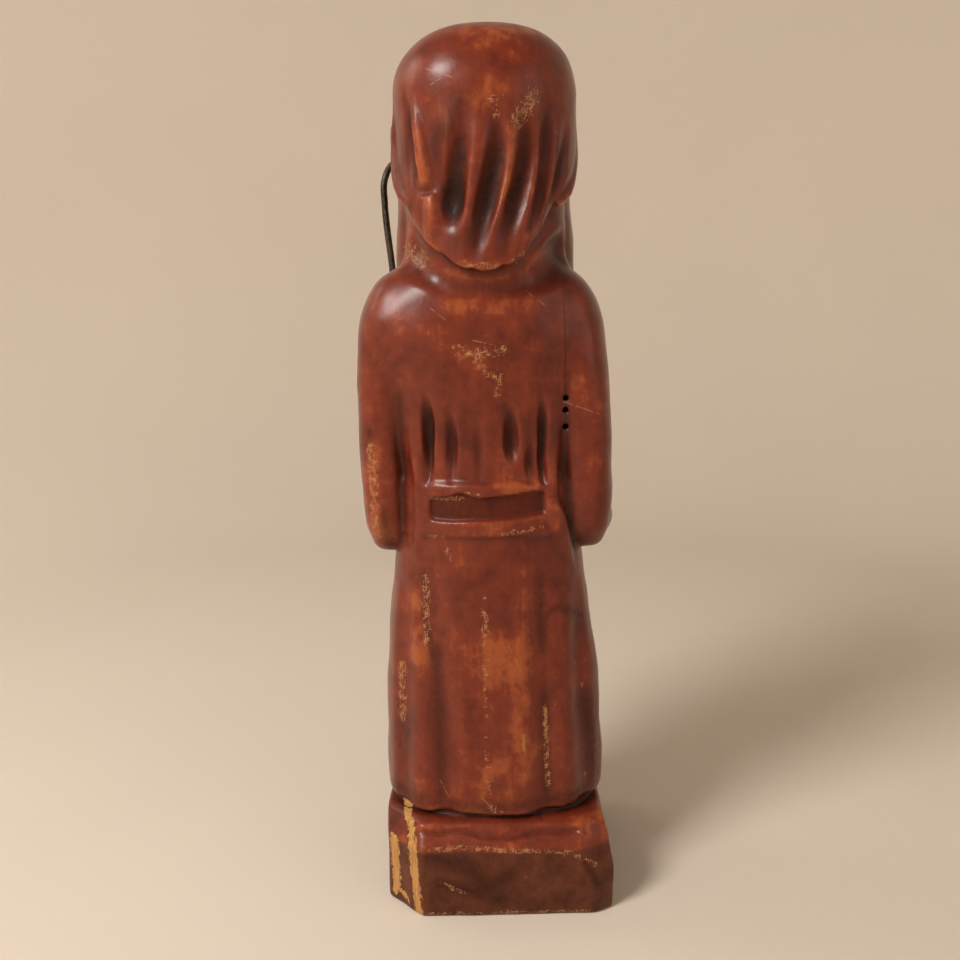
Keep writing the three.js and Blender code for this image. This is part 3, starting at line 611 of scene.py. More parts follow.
def left_arm(block):
    part = block.piece((24, -56, 158), (58, 18, 218))
    part.add(rod([[44.5, 6, 171, 11], [44.5, -8, 178, 11], [42.5, -24, 190, 10.4], [41, -32, 196.4, 10.4]]), 0.1)
    part.add(rod([[41.7, -29, 193.8, 11.2], [40.8, -33.4, 197, 11.2]], 3), 1)
    part.add(rod([[41.4, -30, 195.5, 7.6], [FIST[0] + 1.6, FIST[1] + 4, FIST[2] - 2, 7.6]], 3), 1)
    part.add(ellipsoid((FIST[0] + 1, FIST[1] + 3, FIST[2]), (7.5, 7.5, 10.5)), 1)
    for k in (-1.5, -0.5, 0.5, 1.5):
        z = FIST[2] + k * FINGER_RADIUS * 1.75
        part.add(rod([
            [FIST[0] + 7, FIST[1] + 4, z, FINGER_RADIUS], [FIST[0] + 5.4, FIST[1] - 3.6, z, FINGER_RADIUS],
            [FIST[0] - 3, FIST[1] - 5.5, z, FINGER_RADIUS],
            [FIST[0] - 7, FIST[1] + 0.5, z, FINGER_RADIUS * 0.9],
        ]), 0.5)
    part.add(rod([[FIST[0] - 1, FIST[1] + 8, FIST[2] - 4, 3.6], [FIST[0] - 6, FIST[1] + 4, FIST[2] + 4, 3.2],
                  [FIST[0] - 4, FIST[1] - 2.5, FIST[2] + 9.4, 2.7]]), 0.8)
    return part


def right_arm(block):
    part = block.piece((-58, -48, 158), (10, 18, 208))
    part.add(rod([[-43.5, 6, 171, 11], [-41, -12, 174, 11], [-32, -27, 180, 10.4], [-23, -34.6, 184.4, 9.6]]), 0.1)
    part.add(rod([[-25.6, -32.8, 183.2, 10.6], [-21.6, -35.6, 185, 10.2]], 3), 1)
    part.add(ellipsoid((-15, -38.5, 187.5), (8.5, 5, 8.2)), 1.4)
    for k in (-1.5, -0.5, 0.5, 1.5):
        z = 188.5 + k * FINGER_RADIUS * 1.7
        part.add(rod([
            [-12, -39.5, z - 0.5, FINGER_RADIUS], [-3, -42, z + 0.5, FINGER_RADIUS],
            [6 - abs(k + 0.5), -41, z + 1, FINGER_RADIUS * 0.85],
        ]), 0.5)
    part.add(rod([[-17, -39, 193, 3.2], [-10, -41, 198, 3], [-3.5, -40.5, 200.5, 2.5]]), 0.8)
    return part


def shoe(sign):
    return ellipsoid((sign * 14 - 2, -38, 39), (10.5, 11.5, 6))


def wire_stations():
    radius = WIRE_DIAMETER / 2
    shaft = [[26.9, 30], [35.45, 154], [44, 278], [44.8, 287], [46, 298.6], [46.9, 312]]
    stations = [[x, WIRE_Y, z, radius] for x, z in shaft]
    hook_x, hook_z = shaft[-1]
    for k in range(8):
        angle = math.radians(14 + 24 * k)
        inwards = CROOK_RADIUS * (1 - math.cos(angle))
        stations.append([hook_x - inwards * 0.93, WIRE_Y - inwards * 0.36,
                         hook_z + 8 + CROOK_RADIUS * 1.1 * math.sin(angle), radius])
    return stations


def wire_way(low, high):
    """The drilled way of the wire between two heights."""
    (x0, _, z0, radius), (x1, _, z1, _) = wire_stations()[0], wire_stations()[2]
    at = [[x0 + (x1 - x0) * (z - z0) / (z1 - z0), WIRE_Y, z, radius + WIRE_CLEARANCE] for z in (low, high)]
    return rod(at, 2)


# Holes that worms left in the right sleeve: X, Z
WORM_HOLES = [(-32.2, 225.6), (-32.2, 220.6), (-32.2, 213.5)]


def lumps(axes, spacing, seed):
    """Smooth random numbers over a grid, about one lump for each spacing."""
    draw = np.random.default_rng(seed)
    steps = [np.arange(axis[0] - 2 * spacing, axis[-1] + 3 * spacing, spacing) for axis in axes]
    values = draw.standard_normal([len(step) for step in steps])
    for k, (axis, step) in enumerate(zip(axes, steps)):
        place = (axis - step[0]) / spacing
        row = np.floor(place).astype(int)
        t = place - row
        weights = np.zeros((len(axis), len(step)), dtype=np.float32)
        spline = [(1 - t) ** 3 / 6, (3 * t**3 - 6 * t**2 + 4) / 6,
                  (-3 * t**3 + 3 * t**2 + 3 * t + 1) / 6, t**3 / 6]
        for shift, weight in zip((-1, 0, 1, 2), spline):
            weights[np.arange(len(axis)), row + shift] = weight
        values = np.moveaxis(np.tensordot(weights, values, axes=(1, k)), 0, k)
    return (values / values.std()).astype(np.float32)


def carve(pitch, lump_height):
    margin = 2.5
    block = Block.between(np.array([-57.0, -56.0, -2.4]), np.array([59.5, 50.0, HEIGHT + margin]), pitch)
    block.add(skirt_and_body(), 0.1)
    for x, top, bottom, depth, radius in PLEATS:
        points = [[x + 0.6, top + 4, -1], [x, top - 6, depth * 0.75], [x, bottom + 7, depth], [x, bottom, 0.4]]
        block.cut(stroke(trunk_ring, 1, radius, points), 1.2)
    for side, radius, points in FOLDS:
        block.cut(stroke(trunk_ring, side, radius, points), 4.5, shallow=True)
    block.cut(panel(trunk_ring, 1, 0.6, 24.4, BELT_PANEL, 2, 1.8), 1.2)
    block.add(plinth(), 1.2)
    block.cut(ledge_crease(), 0.9)
    for side in SLEEVE_SIDES:
        block.add(sleeve(*side), lambda z: 2.6 + 5 * smooth(222, 258, z))
    for points in GOWN_FOLDS:
        block.add(gown_fold(points), 1.6)
    block.add(neck(), 5)
    block.cut(stroke(trunk_ring, 1, 8, NAPE), 2.5, shallow=True)
    for sign in (1, -1):
        block.take_in(curtain(block, sign), 1.4)
    block.take_in(head(block), 1.4)
    block.take_in(beard(block), 1)
    block.take_in(left_arm(block), 1.6)
    block.take_in(right_arm(block), 1.6)
    for sign in (1, -1):
        block.add(shoe(sign), 1)
    facets = lump_height * lumps(block.axes, 11, 5) + 0.35 * lump_height * lumps(block.axes, 4.5, 6)
    block.field += facets
    block.bare += facets
    for x, z in WORM_HOLES:
        block.cut(rod([[x, 16, z, 1.1], [x, 36, z, 1.2]], 2), 0.5)
    for low, high in ((30 - WIRE_CLEARANCE, 49), (FIST[2] - 16, FIST[2] + 16)):
        block.cut(wire_way(low, high), 0.4)
    block.field = np.maximum(block.field, -block.axes[2])
    return block


def skin_of(block, pitch):
    """Points and triangles of the surface where the field is zero."""
    band = 3 * pitch
    grid = openvdb.FloatGrid()
    grid.background = band
    grid.copyFromArray(np.clip(block.field, -band, band))
    points, triangles, quads = grid.convertToPolygons(isovalue=0, adaptivity=0)
    origin = np.array([axis[0] for axis in block.axes])
    faces = np.concatenate([triangles.reshape(-1, 3), quads[:, [0, 1, 2]], quads[:, [0, 2, 3]]])
    return points * pitch + origin, faces


def new_object(name, mesh):
    made = bpy.data.objects.new(name, mesh)
    bpy.context.scene.collection.objects.link(made)
    return made


def mesh_of(name, points, faces):
    mesh = bpy.data.meshes.new(name)
    mesh.vertices.add(len(points))
    mesh.vertices.foreach_set("co", (points * MM).astype(np.float32).ravel())
    mesh.loops.add(3 * len(faces))
    mesh.loops.foreach_set("vertex_index", faces.astype(np.int32).ravel())
    mesh.polygons.add(len(faces))
    mesh.polygons.foreach_set("loop_start", np.arange(0, 3 * len(faces), 3, dtype=np.int32))
    mesh.polygons.foreach_set("use_smooth", np.ones(len(faces), dtype=bool))
    mesh.update(calc_edges=True)
    mesh.validate()
    return mesh


def thinned(piece, most_triangles):
    """Replaces a piece's mesh by one with fewer triangles where it is flat."""
    count = len(piece.data.polygons)
    if count <= most_triangles:
        return
    modifier = piece.modifiers.new("Thin", "DECIMATE")
    modifier.ratio = most_triangles / count
    ready = piece.evaluated_get(bpy.context.evaluated_depsgraph_get())
    mesh = bpy.data.meshes.new_from_object(ready)
    piece.modifiers.clear()
    piece.data = mesh
    mesh.polygons.foreach_set("use_smooth", np.ones(len(mesh.polygons), dtype=bool))


def blurred(solid, sigma):
    """Share of wood round each place of a grid, over a distance in cells."""
    reach = int(math.ceil(2.5 * sigma))
    kernel = np.exp(-0.5 * (np.arange(-reach, reach + 1) / sigma) ** 2).astype(np.float32)
    kernel /= kernel.sum()
    for k in range(3):
        padded = np.pad(solid, [(reach, reach) if axis == k else (0, 0) for axis in range(3)])
        moved = np.zeros_like(solid)
        for shift, weight in enumerate(kernel):
            moved += weight * np.take(padded, range(shift, shift + solid.shape[k]), axis=k)
        solid = moved
    return solid


def sampled(values, axes, points):
    """Values of a grid at some points, in a straight line between its places."""
    total = 0
    steps = []
    for k, axis in enumerate(axes):
        place = np.clip((points[:, k] - axis[0]) / (axis[1] - axis[0]), 0, len(axis) - 1.001)
        row = np.floor(place).astype(int)
        steps.append((row, place - row))
    for corner in range(8):
        weight = 1
        place = []
        for k, (row, t) in enumerate(steps):
            far = corner >> k & 1
            weight = weight * (t if far else 1 - t)
            place.append(row + far)
        total = total + weight * values[tuple(place)]
    return total


def points_of(mesh):
    points = np.empty(3 * len(mesh.vertices), dtype=np.float32)
    mesh.vertices.foreach_get("co", points)
    return points.reshape(-1, 3) / MM


def give_values(mesh, name, values):
    attribute = mesh.attributes.new(name, "FLOAT", "POINT")
    attribute.data.foreach_set("value", np.asarray(values, dtype=np.float32))


# Marks on the varnish, seen from behind: half width, then points of X and Z. Most are wear and dirt that time has left;
# some are painted shade or painted highlights, as said at each list

RAW_WOOD = [
    (2.3, [[45.8, 31], [45.4, 22], [45, 12], [45.6, 5]]), (1.6, [[41.6, 6], [38.4, 3.5]]),
    (2.2, [[40.4, 44], [37.4, 39], [36.8, 32], [36.2, 19], [35.2, 6], [34, 0]]),
    (1.1, [[-12.3, 80.8], [-13.1, 73.9]]), (0.8, [[-22.1, 91.2], [-22.4, 77.5]]), (1, [[-39.2, 98.6], [-39, 97]]),
    (0.8, [[-35.9, 109.9], [-35.8, 108.7]]), (0.8, [[41.3, 109.7], [40, 105.1]]), (0.8, [[40.9, 88.6], [40.8, 87]]),
    (0.9, [[-22.6, 60], [-22.6, 58]]), (0.8, [[-40.3, 57.2], [-40.2, 56]]),
]
ORANGE_WOOD = [
    (4.6, [[48.5, 205], [49, 188], [48, 170]]), (3.4, [[-6, 190.4], [-11, 190.6], [-16, 189.5]]),
    (4, [[22, 252], [14, 246], [4, 240]]), (12, [[2, 120], [4, 84], [2, 54]]), (7, [[-9, 118], [-10, 76]]),
    (5, [[34, 140], [34, 118]]), (3, [[26.2, 330], [24.2, 313]]), (2.6, [[-1, 274.6], [12, 276], [20, 281]]),
    (2.6, [[-3, 274.6], [-14, 277], [-22, 284]]), (3.6, [[41, 30], [40.4, 18], [40, 4]]),
    (8, [[10, 368], [-14, 366]]), (6, [[4, 352], [-2, 345]]), (4, [[-16, 266], [14, 266]]),
]
# Dark marks: dirt spots, stains and a crusty line; a painted shadow under the hem's lip that is partly dirt; a darker
# band along the hem; and dark bands down the skirt's fold valleys and the creases beside the arms
GRIME_AND_PAINTED_SHADE = [
    (1.5, [[44, 44.6], [28, 43.6], [8, 43], [-12, 43], [-30, 43.8], [-46, 45.4]]),
    (3.6, [[44, 50.4], [22, 49.2], [0, 48.6], [-22, 49.2], [-44, 50.4]]),
    (2.4, [[50.6, 213], [50.4, 211]]), (1.6, [[29.5, 152.7], [28.7, 144.6], [29.4, 133.5], [27.1, 122.8], [25.9, 112]]),
    (4, [[24.6, 118], [24, 84], [24, 50]]), (5, [[29, 29], [12, 24], [-1, 8]]), (3, [[-20.5, 150], [-20.8, 118]]),
    (2.2, [[-20.3, 132.4], [-29.2, 135.5], [-40.2, 127.9]]), (3, [[-21.4, 98], [-22, 52]]),
    (4, [[25, 16], [8, 12], [-6, 20]]), (2, [[-33, 186], [-32.4, 236]]), (2.4, [[37.6, 172], [37.4, 228]]),
    (5, [[-41, 92], [-44, 54]]), (2, [[-38, 26], [-44, 14]]), (4, [[46, 176], [44, 163]]), (5, [[10, 340], [16, 330]]),
]
# Whitish rubs, scuffs, chips and dust. The four short strokes along the edges of the belt's rolls, at heights 168 to
# 188, are painted highlights on partly chipped edges; the first patch, on the hair, is partly a painted highlight
PALE_RUBS_AND_GLINTS = [
    (4, [[-12.5, 333], [-16.5, 338], [-19, 343]]), (1.8, [[-7.3, 342.5], [-2.3, 340.8]]),
    (2, [[-4.9, 334.3], [-4.5, 337]]), (3.4, [[13.3, 246.7], [4, 245.2], [-4.9, 246.3]]),
    (2.6, [[4.1, 241.6], [0.5, 237.5], [-4.8, 236.2]]), (2, [[-4, 234], [-3.4, 228]]),
    (5, [[26.6, 283], [29.5, 286], [32, 288]]), (1.8, [[-4, 279.4], [4, 279.6], [8.5, 280.6]]),
    (1.6, [[-14.5, 284.5], [-11.2, 281]]), (1.7, [[19.5, 164.9], [16.7, 158.5]]), (2.2, [[3.5, 141.3], [3.8, 121.6]]),
    (1.2, [[3.5, 117.2], [3.9, 97.1], [3.5, 69.9], [2.5, 51.4]]), (1.3, [[24.6, 184.9], [11.9, 185.4]]),
    (1.4, [[10.5, 188], [4.3, 186.3]]), (1.3, [[25.9, 168.7], [20.3, 168.3]]), (1.3, [[-3.7, 169.9], [-22, 172.1]]),
    (1.4, [[24.2, 16.6], [14.2, 11.5]]), (3, [[40, 108], [41, 84]]), (3, [[50, 206], [50, 166]]),
    (2.4, [[28.6, 150], [28.4, 118]]), (1.4, [[30, 31.8], [12, 32.6], [-10, 31], [-32, 30], [-44, 23]]),
    (1.2, [[30, 1.6], [-40, 1.6]]), (2.6, [[2, 50], [-1, 46]]), (1.8, [[-22, 92], [-23, 56]]),
]

# Thin scratches: X, Z of both ends, then width
SCRATCHES = [
    (22.2, 353.9, 10.7, 349, 0.35), (14.5, 350.4, 20, 347.6, 0.35), (23.1, 263.7, 17.1, 258.8, 0.35),
    (-15.4, 270.1, -23.4, 264, 0.35), (-30.7, 224.4, -40.1, 221, 0.35), (-40.1, 221, -50.7, 217, 0.35),
    (-6.4, 121.4, -11.8, 110, 0.35), (24.3, 59.8, 20.1, 51, 0.35), (6.8, 53.8, 0.5, 46.9, 0.35),
    (9.5, 249, 1.5, 243.4, 0.35), (6, 250.4, -3, 248.2, 0.35),
]
CRACKS = [(-31.6, 265.8, -31.9, 247, 0.35), (-31.9, 247, -31.9, 226, 0.35)]


def mark_values(points, strokes):
    """How deep each point of the back lies in a list of strokes: 1 in the middle, 0 outside."""
    x, z = points[:, 0], points[:, 2]
    deepest = np.zeros(len(points), dtype=np.float32)
    for half_width, line in strokes:
        for (ax, az), (bx, bz) in zip(line[:-1], line[1:]):
            run_x, run_z = bx - ax, bz - az
            t = np.clip(((x - ax) * run_x + (z - az) * run_z) / (run_x**2 + run_z**2), 0, 1)
            gap = np.hypot(x - ax - t * run_x, z - az - t * run_z)
            deepest = np.maximum(deepest, 1 - gap / (1.7 * half_width))
    return deepest * smooth(-2, 6, points[:, 1])


# Shader maths

class Value:
    """A number or colour on its way through a material's nodes."""

    def __init__(self, finish, socket):
        self.finish = finish
        self.socket = socket

    def maths(self, operation, *others, clamp=False):
        inputs = dict(enumerate((self, *others)))
        made = self.finish.node("ShaderNodeMath", {"operation": operation, "use_clamp": clamp}, inputs)
        return Value(self.finish, made.outputs[0])

    def __add__(self, other):
        return self.maths("ADD", other)

    def __sub__(self, other):
        return self.maths("SUBTRACT", other)

    def __mul__(self, other):
        return self.maths("MULTIPLY", other)

    def __truediv__(self, other):
        return self.maths("DIVIDE", other)

    def __pow__(self, other):
        return self.maths("POWER", other)

    def __rsub__(self, other):
        return (self * -1) + other

    __radd__ = __add__
    __rmul__ = __mul__

    def clamped(self):
        return self.maths("ADD", 0, clamp=True)

    def between(self, low, high):
        """0 below the low value, 1 above the high one, eased."""
        settings = {"interpolation_type": "SMOOTHSTEP"}
        made = self.finish.node("ShaderNodeMapRange", settings, {"Value": self, "From Min": low, "From Max": high})
        return Value(self.finish, made.outputs["Result"])

    def least(self, other):
        return self.maths("MINIMUM", other)

    def most(self, other):
        return self.maths("MAXIMUM", other)


class Finish:
    """A procedural material in the making."""

    def __init__(self, name):
        self.material = bpy.data.materials.new(name)
        self.material.use_nodes = True
        self.tree = self.material.node_tree
        self.tree.nodes.clear()
        place = self.node("ShaderNodeTexCoord").outputs["Object"]
        self.place = self.vector("SCALE", place, scale=1 / MM)

    def node(self, kind, settings=None, inputs=None):
        made = self.tree.nodes.new(kind)
        for name, setting in (settings or {}).items():
            if name == "stops":
                ramp = made.color_ramp
                while len(ramp.elements) < len(setting):
                    ramp.elements.new(0.5)
                for element, (position, colour) in zip(ramp.elements, setting):
                    element.position, element.color = position, (*colour, 1)
            else:
                setattr(made, name, setting)
        for name, value in (inputs or {}).items():
            if isinstance(value, Value):
                self.tree.links.new(value.socket, made.inputs[name])
            elif isinstance(value, bpy.types.NodeSocket):
                self.tree.links.new(value, made.inputs[name])
            else:
                made.inputs[name].default_value = value
        return made

    def vector(self, operation, *vectors, scale=None):
        inputs = dict(enumerate(vectors))
        if scale is not None:
            inputs["Scale"] = scale
        made = self.node("ShaderNodeVectorMath", {"operation": operation}, inputs)
        return Value(self, made.outputs[0])

    def parts(self, vector):
        made = self.node("ShaderNodeSeparateXYZ", inputs={0: vector})
        return [Value(self, output) for output in made.outputs]

    def attribute(self, name):
        made = self.node("ShaderNodeAttribute", {"attribute_name": name})
        return Value(self, made.outputs["Fac"])

    def noise(self, size, detail=3, stretch=(1, 1, 1), shift=0.0, roughness=0.55):
        """Smooth noise between 0 and 1 whose blotches are about size millimetres across."""
        stretched = self.vector("MULTIPLY", self.place, tuple(1 / (size * s) for s in stretch))
        moved = self.vector("ADD", stretched, (shift, shift * 1.7, shift * 2.3))
        inputs = {"Vector": moved, "Scale": 1.0, "Detail": detail, "Roughness": roughness}
        return Value(self, self.node("ShaderNodeTexNoise", inputs=inputs).outputs["Fac"])

    def mix(self, factor, low, high, blend="MIX"):
        """Colour between two colours."""
        low, high = [colour if isinstance(colour, Value) else (*colour, 1) for colour in (low, high)]
        settings = {"data_type": "RGBA", "blend_type": blend}
        made = self.node("ShaderNodeMix", settings, {0: factor, 6: low, 7: high})
        return Value(self, made.outputs[2])

    def scratch(self, x, z, lines):
        """1 on thin straight lines across the back, 0 off them."""
        best = None
        for ax, az, bx, bz, width in lines:
            run_x, run_z = bx - ax, bz - az
            along = ((x - ax) * run_x + (z - az) * run_z) / (run_x**2 + run_z**2)
            t = along.clamped()
            gap_x = x - ax - t * run_x
            gap_z = z - az - t * run_z
            gap = (gap_x * gap_x + gap_z * gap_z) ** 0.5
            line = 1 - gap.between(width * 0.35, width * 0.8)
            best = line if best is None else best.most(line)
        return best

    def ends(self, colour, roughness, metallic, bumps, coat_weight=None, **even):
        """Joins the values to a shader; bumps are (height in millimetres, strength) from broad to fine."""
        normal = None
        for height, strength in bumps:
            inputs = {"Height": height, "Strength": strength, "Distance": MM}
            if normal is not None:
                inputs["Normal"] = normal
            normal = self.node("ShaderNodeBump", inputs=inputs).outputs["Normal"]
        inputs = {"Base Color": colour, "Roughness": roughness, "Metallic": metallic, "Normal": normal}
        if coat_weight is not None:
            inputs["Coat Weight"] = coat_weight
        for name, value in even.items():
            inputs[EVEN_SOCKETS[name]] = value
        shader = self.node("ShaderNodeBsdfPrincipled", inputs=inputs)
        self.node("ShaderNodeOutputMaterial", inputs={"Surface": shader.outputs[0]})
        return self.material


EVEN_SOCKETS = {"ior": "IOR", "sheen_of_base": "Specular IOR Level", "coat_roughness": "Coat Roughness",
                "coat_ior": "Coat IOR"}


def varnished_wood(settings):
    """Satin red-brown varnish: black in the gouge cuts from dirt and painted shade, worn to orange and to bare wood in
    places, with painted shade in hollows and recesses and painted highlights along the belt's rolls.
    """
    wood = Finish("varnished_wood")
    x, y, z = wood.parts(wood.place)
    hollow = wood.attribute("hollow")
    carved = wood.attribute("carved")
    recess = wood.attribute("recess")
    patches = wood.noise(34, 3)
    blotches = wood.noise(9, 4, shift=3.1, roughness=0.6)
    streaks = wood.noise(2.4, 3, stretch=(1, 1, 11), shift=7.7)
    specks = wood.noise(0.8, 3, shift=5.9)
    crust = wood.noise(2.2, 4, shift=9.4, roughness=0.65)
    scuffs = wood.noise(0.42, 3, stretch=(1, 1, 7), shift=1.3).most(
        wood.noise(0.4, 3, stretch=(6, 1, 1.6), shift=8.8)) * 0.6 + crust * 0.4

    tone = (patches - 0.5) * 1.3 + (blotches - 0.5) * 1.2 + (streaks - 0.5) * 0.35 + (crust - 0.5) * 0.3 + 0.48
    # Darker where the surface is hollow or recessed: painted shade
    tone = tone + wood.attribute("orange_wood") * 0.36 - hollow * 0.5 - recess * 0.5
    ramp = wood.node("ShaderNodeValToRGB", {"stops": [
        (0.0, settings.deep_varnish_and_shade), (0.38, settings.varnish), (0.72, settings.varnish_glow),
        (1.0, settings.amber_varnish)]}, {"Fac": tone.clamped()})
    colour = Value(wood, ramp.outputs["Color"])

    face = 1 - z.between(29.5, 32.5)
    soiled = wood.mix(((blotches - 0.5) * 1.6 + (crust - 0.5) * 0.8 + 0.4).clamped(),
                      settings.soiled_face, settings.soiled_face_light)
    colour = wood.mix(face * 0.9, colour, soiled)

    worn_edge = ((hollow * -1) + (blotches - 0.5) * 0.4 + (crust - 0.5) * 0.3).between(0.24, 0.55)
    colour = wood.mix(worn_edge * 0.55, colour, settings.amber_varnish)
    fleck = (specks * 0.6 + crust * 0.4).between(0.62, 0.68) * blotches.between(0.42, 0.6)
    colour = wood.mix(fleck * 0.45, colour, settings.rubbed_varnish_and_glint)

    # Black by the depth of the gouge cuts and by how hollow or recessed the surface is: old dirt and painted shade
    # together, with the dark marks adding a painted shadow under the hem
    cut_grime_and_shade = carved * 0.22 + (carved.between(0.1, 1)) * ((blotches - 0.5) * 1.1 + (crust - 0.5) * 0.6)
    crease_grime_and_shade = hollow * 1.5 + recess * 0.5 + (crust - 0.5) * 0.7
    grime_and_shade = cut_grime_and_shade.between(0.05, 0.95).most(crease_grime_and_shade.between(0.22, 0.9) * 0.85)
    soot_and_shade = (wood.attribute("black_grime") * 0.55 + (crust - 0.5) * 0.7 + (blotches - 0.5) * 0.6).between(0.1, 0.62)
    grime_and_shade = grime_and_shade.most(soot_and_shade * 0.6)
    colour = wood.mix(grime_and_shade * 0.92, colour, settings.grime_and_shade)

    # Whitish scuffs over the listed zones, with painted highlights on the belt's rolls and the hair
    rub_and_glint = (wood.attribute("pale_rubs").between(0, 0.8) * 0.24 + scuffs).between(0.76, 0.82)
    scratch = wood.scratch(x, z, SCRATCHES) * y.between(0, 6) * (crust.between(0.4, 0.55) * 0.7)
    pale_and_glint = rub_and_glint.most(scratch)
    colour = wood.mix(pale_and_glint * 0.75, colour, settings.rubbed_varnish_and_glint)

    raw = (wood.attribute("raw_wood") * 0.6 + (crust - 0.5) * 0.7 + (streaks - 0.5) * 0.4).between(0.27, 0.35)
    grain = wood.noise(0.8, 3, stretch=(1, 1, 22), shift=4.2)
    bare = wood.mix(grain.between(0.35, 0.68), settings.bare_wood, settings.bare_wood_shade)
    bare = wood.mix(specks.between(0.6, 0.72) * 0.6, bare, settings.soiled_face)
    colour = wood.mix(raw * (1 - z.between(44, 47) * 0.5), colour, bare)
    crack = wood.scratch(x, z, CRACKS) * y.between(0, 6)
    colour = wood.mix(crack * crust.between(0.42, 0.56) * 0.8, colour, settings.grime_and_shade)

    dull = grime_and_shade * 0.22 + raw * 0.3 + pale_and_glint * 0.15 + face * 0.12
    roughness = (0.42 + (crust - 0.5) * 0.2 + (patches - 0.5) * 0.15 + dull).clamped()
    coat = (1 - raw - grime_and_shade * 0.75 - face * 0.55 - pale_and_glint * 0.3 + (blotches - 0.5) * 0.6).clamped()
    coat = coat * (1 - carved.between(0.5, 2.2) * 0.7)
    ripple = wood.noise(6, 2, shift=2.2) * 0.5 + wood.noise(2, 3, shift=6.2, stretch=(1, 1, 1.6)) * 0.16
    skin = specks * 0.05 + crust * (0.07 + grime_and_shade * 0.2) - raw * 0.3 - crack * 0.4 + pale_and_glint * 0.05
    return wood.ends(colour, roughness, 0.0, [(ripple, 0.6), (skin, 0.9)], coat * settings.varnish_coat,
                     coat_roughness=settings.coat_roughness, coat_ior=1.34, sheen_of_base=0.15)


def worn_steel(settings):
    """Dull drawn wire, greasy grey above and rusty below."""
    steel = Finish("worn_steel")
    x, y, z = steel.parts(steel.place)
    patches = steel.noise(6, 4)
    specks = steel.noise(0.8, 4, shift=3.3)
    drawn = steel.noise(0.4, 2, stretch=(1, 1, 30), shift=8.1)
    rust = (patches * 0.8 + specks * 0.5 + (1 - z.between(255, 318)) * 0.28).between(0.62, 0.86)
    colour = steel.mix(specks.between(0.35, 0.7), settings.steel, settings.steel_shine)
    colour = steel.mix(rust * 0.85, colour, settings.rust)
    colour = steel.mix(specks.between(0.6, 0.72) * 0.6, colour, settings.steel_pits)
    roughness = (0.36 + (patches - 0.5) * 0.3 + rust * 0.35).clamped()
    metallic = (0.9 - rust * 0.75).clamped()
    skin = specks * 0.1 + drawn * 0.03 + rust * 0.05
    return steel.ends(colour, roughness, metallic, [(patches * 0.2, 0.5), (skin, 1.0)])


def paper(settings):
    """Matt paper with a faint tooth."""
    sheet = Finish("pale_paper")
    cloud = sheet.noise(300, 2)
    tooth = sheet.noise(1.4, 2, shift=2.0)
    colour = sheet.mix(cloud.between(0.2, 0.8), tuple(settings.paper), tuple(0.97 * c for c in settings.paper))
    return sheet.ends(colour, 0.9, 0.0, [(tooth, 0.05)], ior=1.35)


# What a user may change

def length(name, description, millimetres, least=0.0):
    return bpy.props.FloatProperty(name=name, description=description, default=millimetres * MM, min=least,
                                   unit="LENGTH", precision=5)


def tint(name, description, colour):
    return bpy.props.FloatVectorProperty(name=name, description=description, default=colour, size=3, min=0, max=1,
                                         subtype="COLOR")


class CarvedFigureSettings(bpy.types.PropertyGroup):
    cell: length("Carving cell", "Size of the smallest step of the carving", 0.8, 0.0004)
    lump_height: length("Tool marks", "Height of the lumps that knife and gouge leave", 0.2)
    most_triangles: bpy.props.IntProperty(
        name="Triangles", description="Most triangles in the finished carving", default=190000, min=10000)
    # Darkest varnish, also the colour of the painted shade in hollows and recesses
    deep_varnish_and_shade: tint("Deep varnish", "Varnish where it lies thick", (0.05, 0.0075, 0.003))
    varnish: tint("Varnish", "Varnish over most of the figure", (0.112, 0.0145, 0.0042))
    varnish_glow: tint("Varnish glow", "Varnish where light comes back from the wood", (0.165, 0.023, 0.0065))
    amber_varnish: tint("Amber varnish", "Thin varnish on ridges and worn places", (0.29, 0.063, 0.015))
    soiled_face: tint("Soiled face", "Dirt on the upright faces of the plinth", (0.045, 0.012, 0.0055))
    soiled_face_light: tint("Soiled face, rubbed", "The same, where hands have rubbed it", (0.14, 0.037, 0.013))
    # Colour of old dirt, of cracks, and of the painted shade in cuts, creases and recesses
    grime_and_shade: tint("Grime", "Old dirt in the hollows", (0.014, 0.0045, 0.002))
    # Colour of scuffs and dust, also used for the painted highlights on the belt's rolls and the hair
    rubbed_varnish_and_glint: tint("Rubbed varnish", "Scuffed and dusty places", (0.4, 0.19, 0.085))
    bare_wood: tint("Bare wood", "Wood where the varnish has gone", (0.5, 0.27, 0.09))
    bare_wood_shade: tint("Bare wood grain", "Darker lines of the bare wood", (0.34, 0.15, 0.045))
    varnish_coat: bpy.props.FloatProperty(
        name="Varnish gloss", description="Weight of the glossy coat", default=0.75, min=0, max=1, subtype="FACTOR")
    coat_roughness: bpy.props.FloatProperty(
        name="Coat roughness", description="How soft the shine is", default=0.3, min=0, max=1, subtype="FACTOR")


class WireCrookSettings(bpy.types.PropertyGroup):
    sides: bpy.props.IntProperty(name="Sides", description="Sides of the wire's ring", default=20, min=8)
    pit_depth: length("Pits", "Depth of the rust pits", 0.06)
    steel: tint("Steel", "Dark worn steel", (0.035, 0.027, 0.021))
    steel_shine: tint("Steel shine", "Rubbed steel", (0.1, 0.085, 0.07))
    steel_pits: tint("Pits", "Black of the pits", (0.02, 0.014, 0.011))
    rust: tint("Rust", "Brown rust", (0.06, 0.024, 0.011))


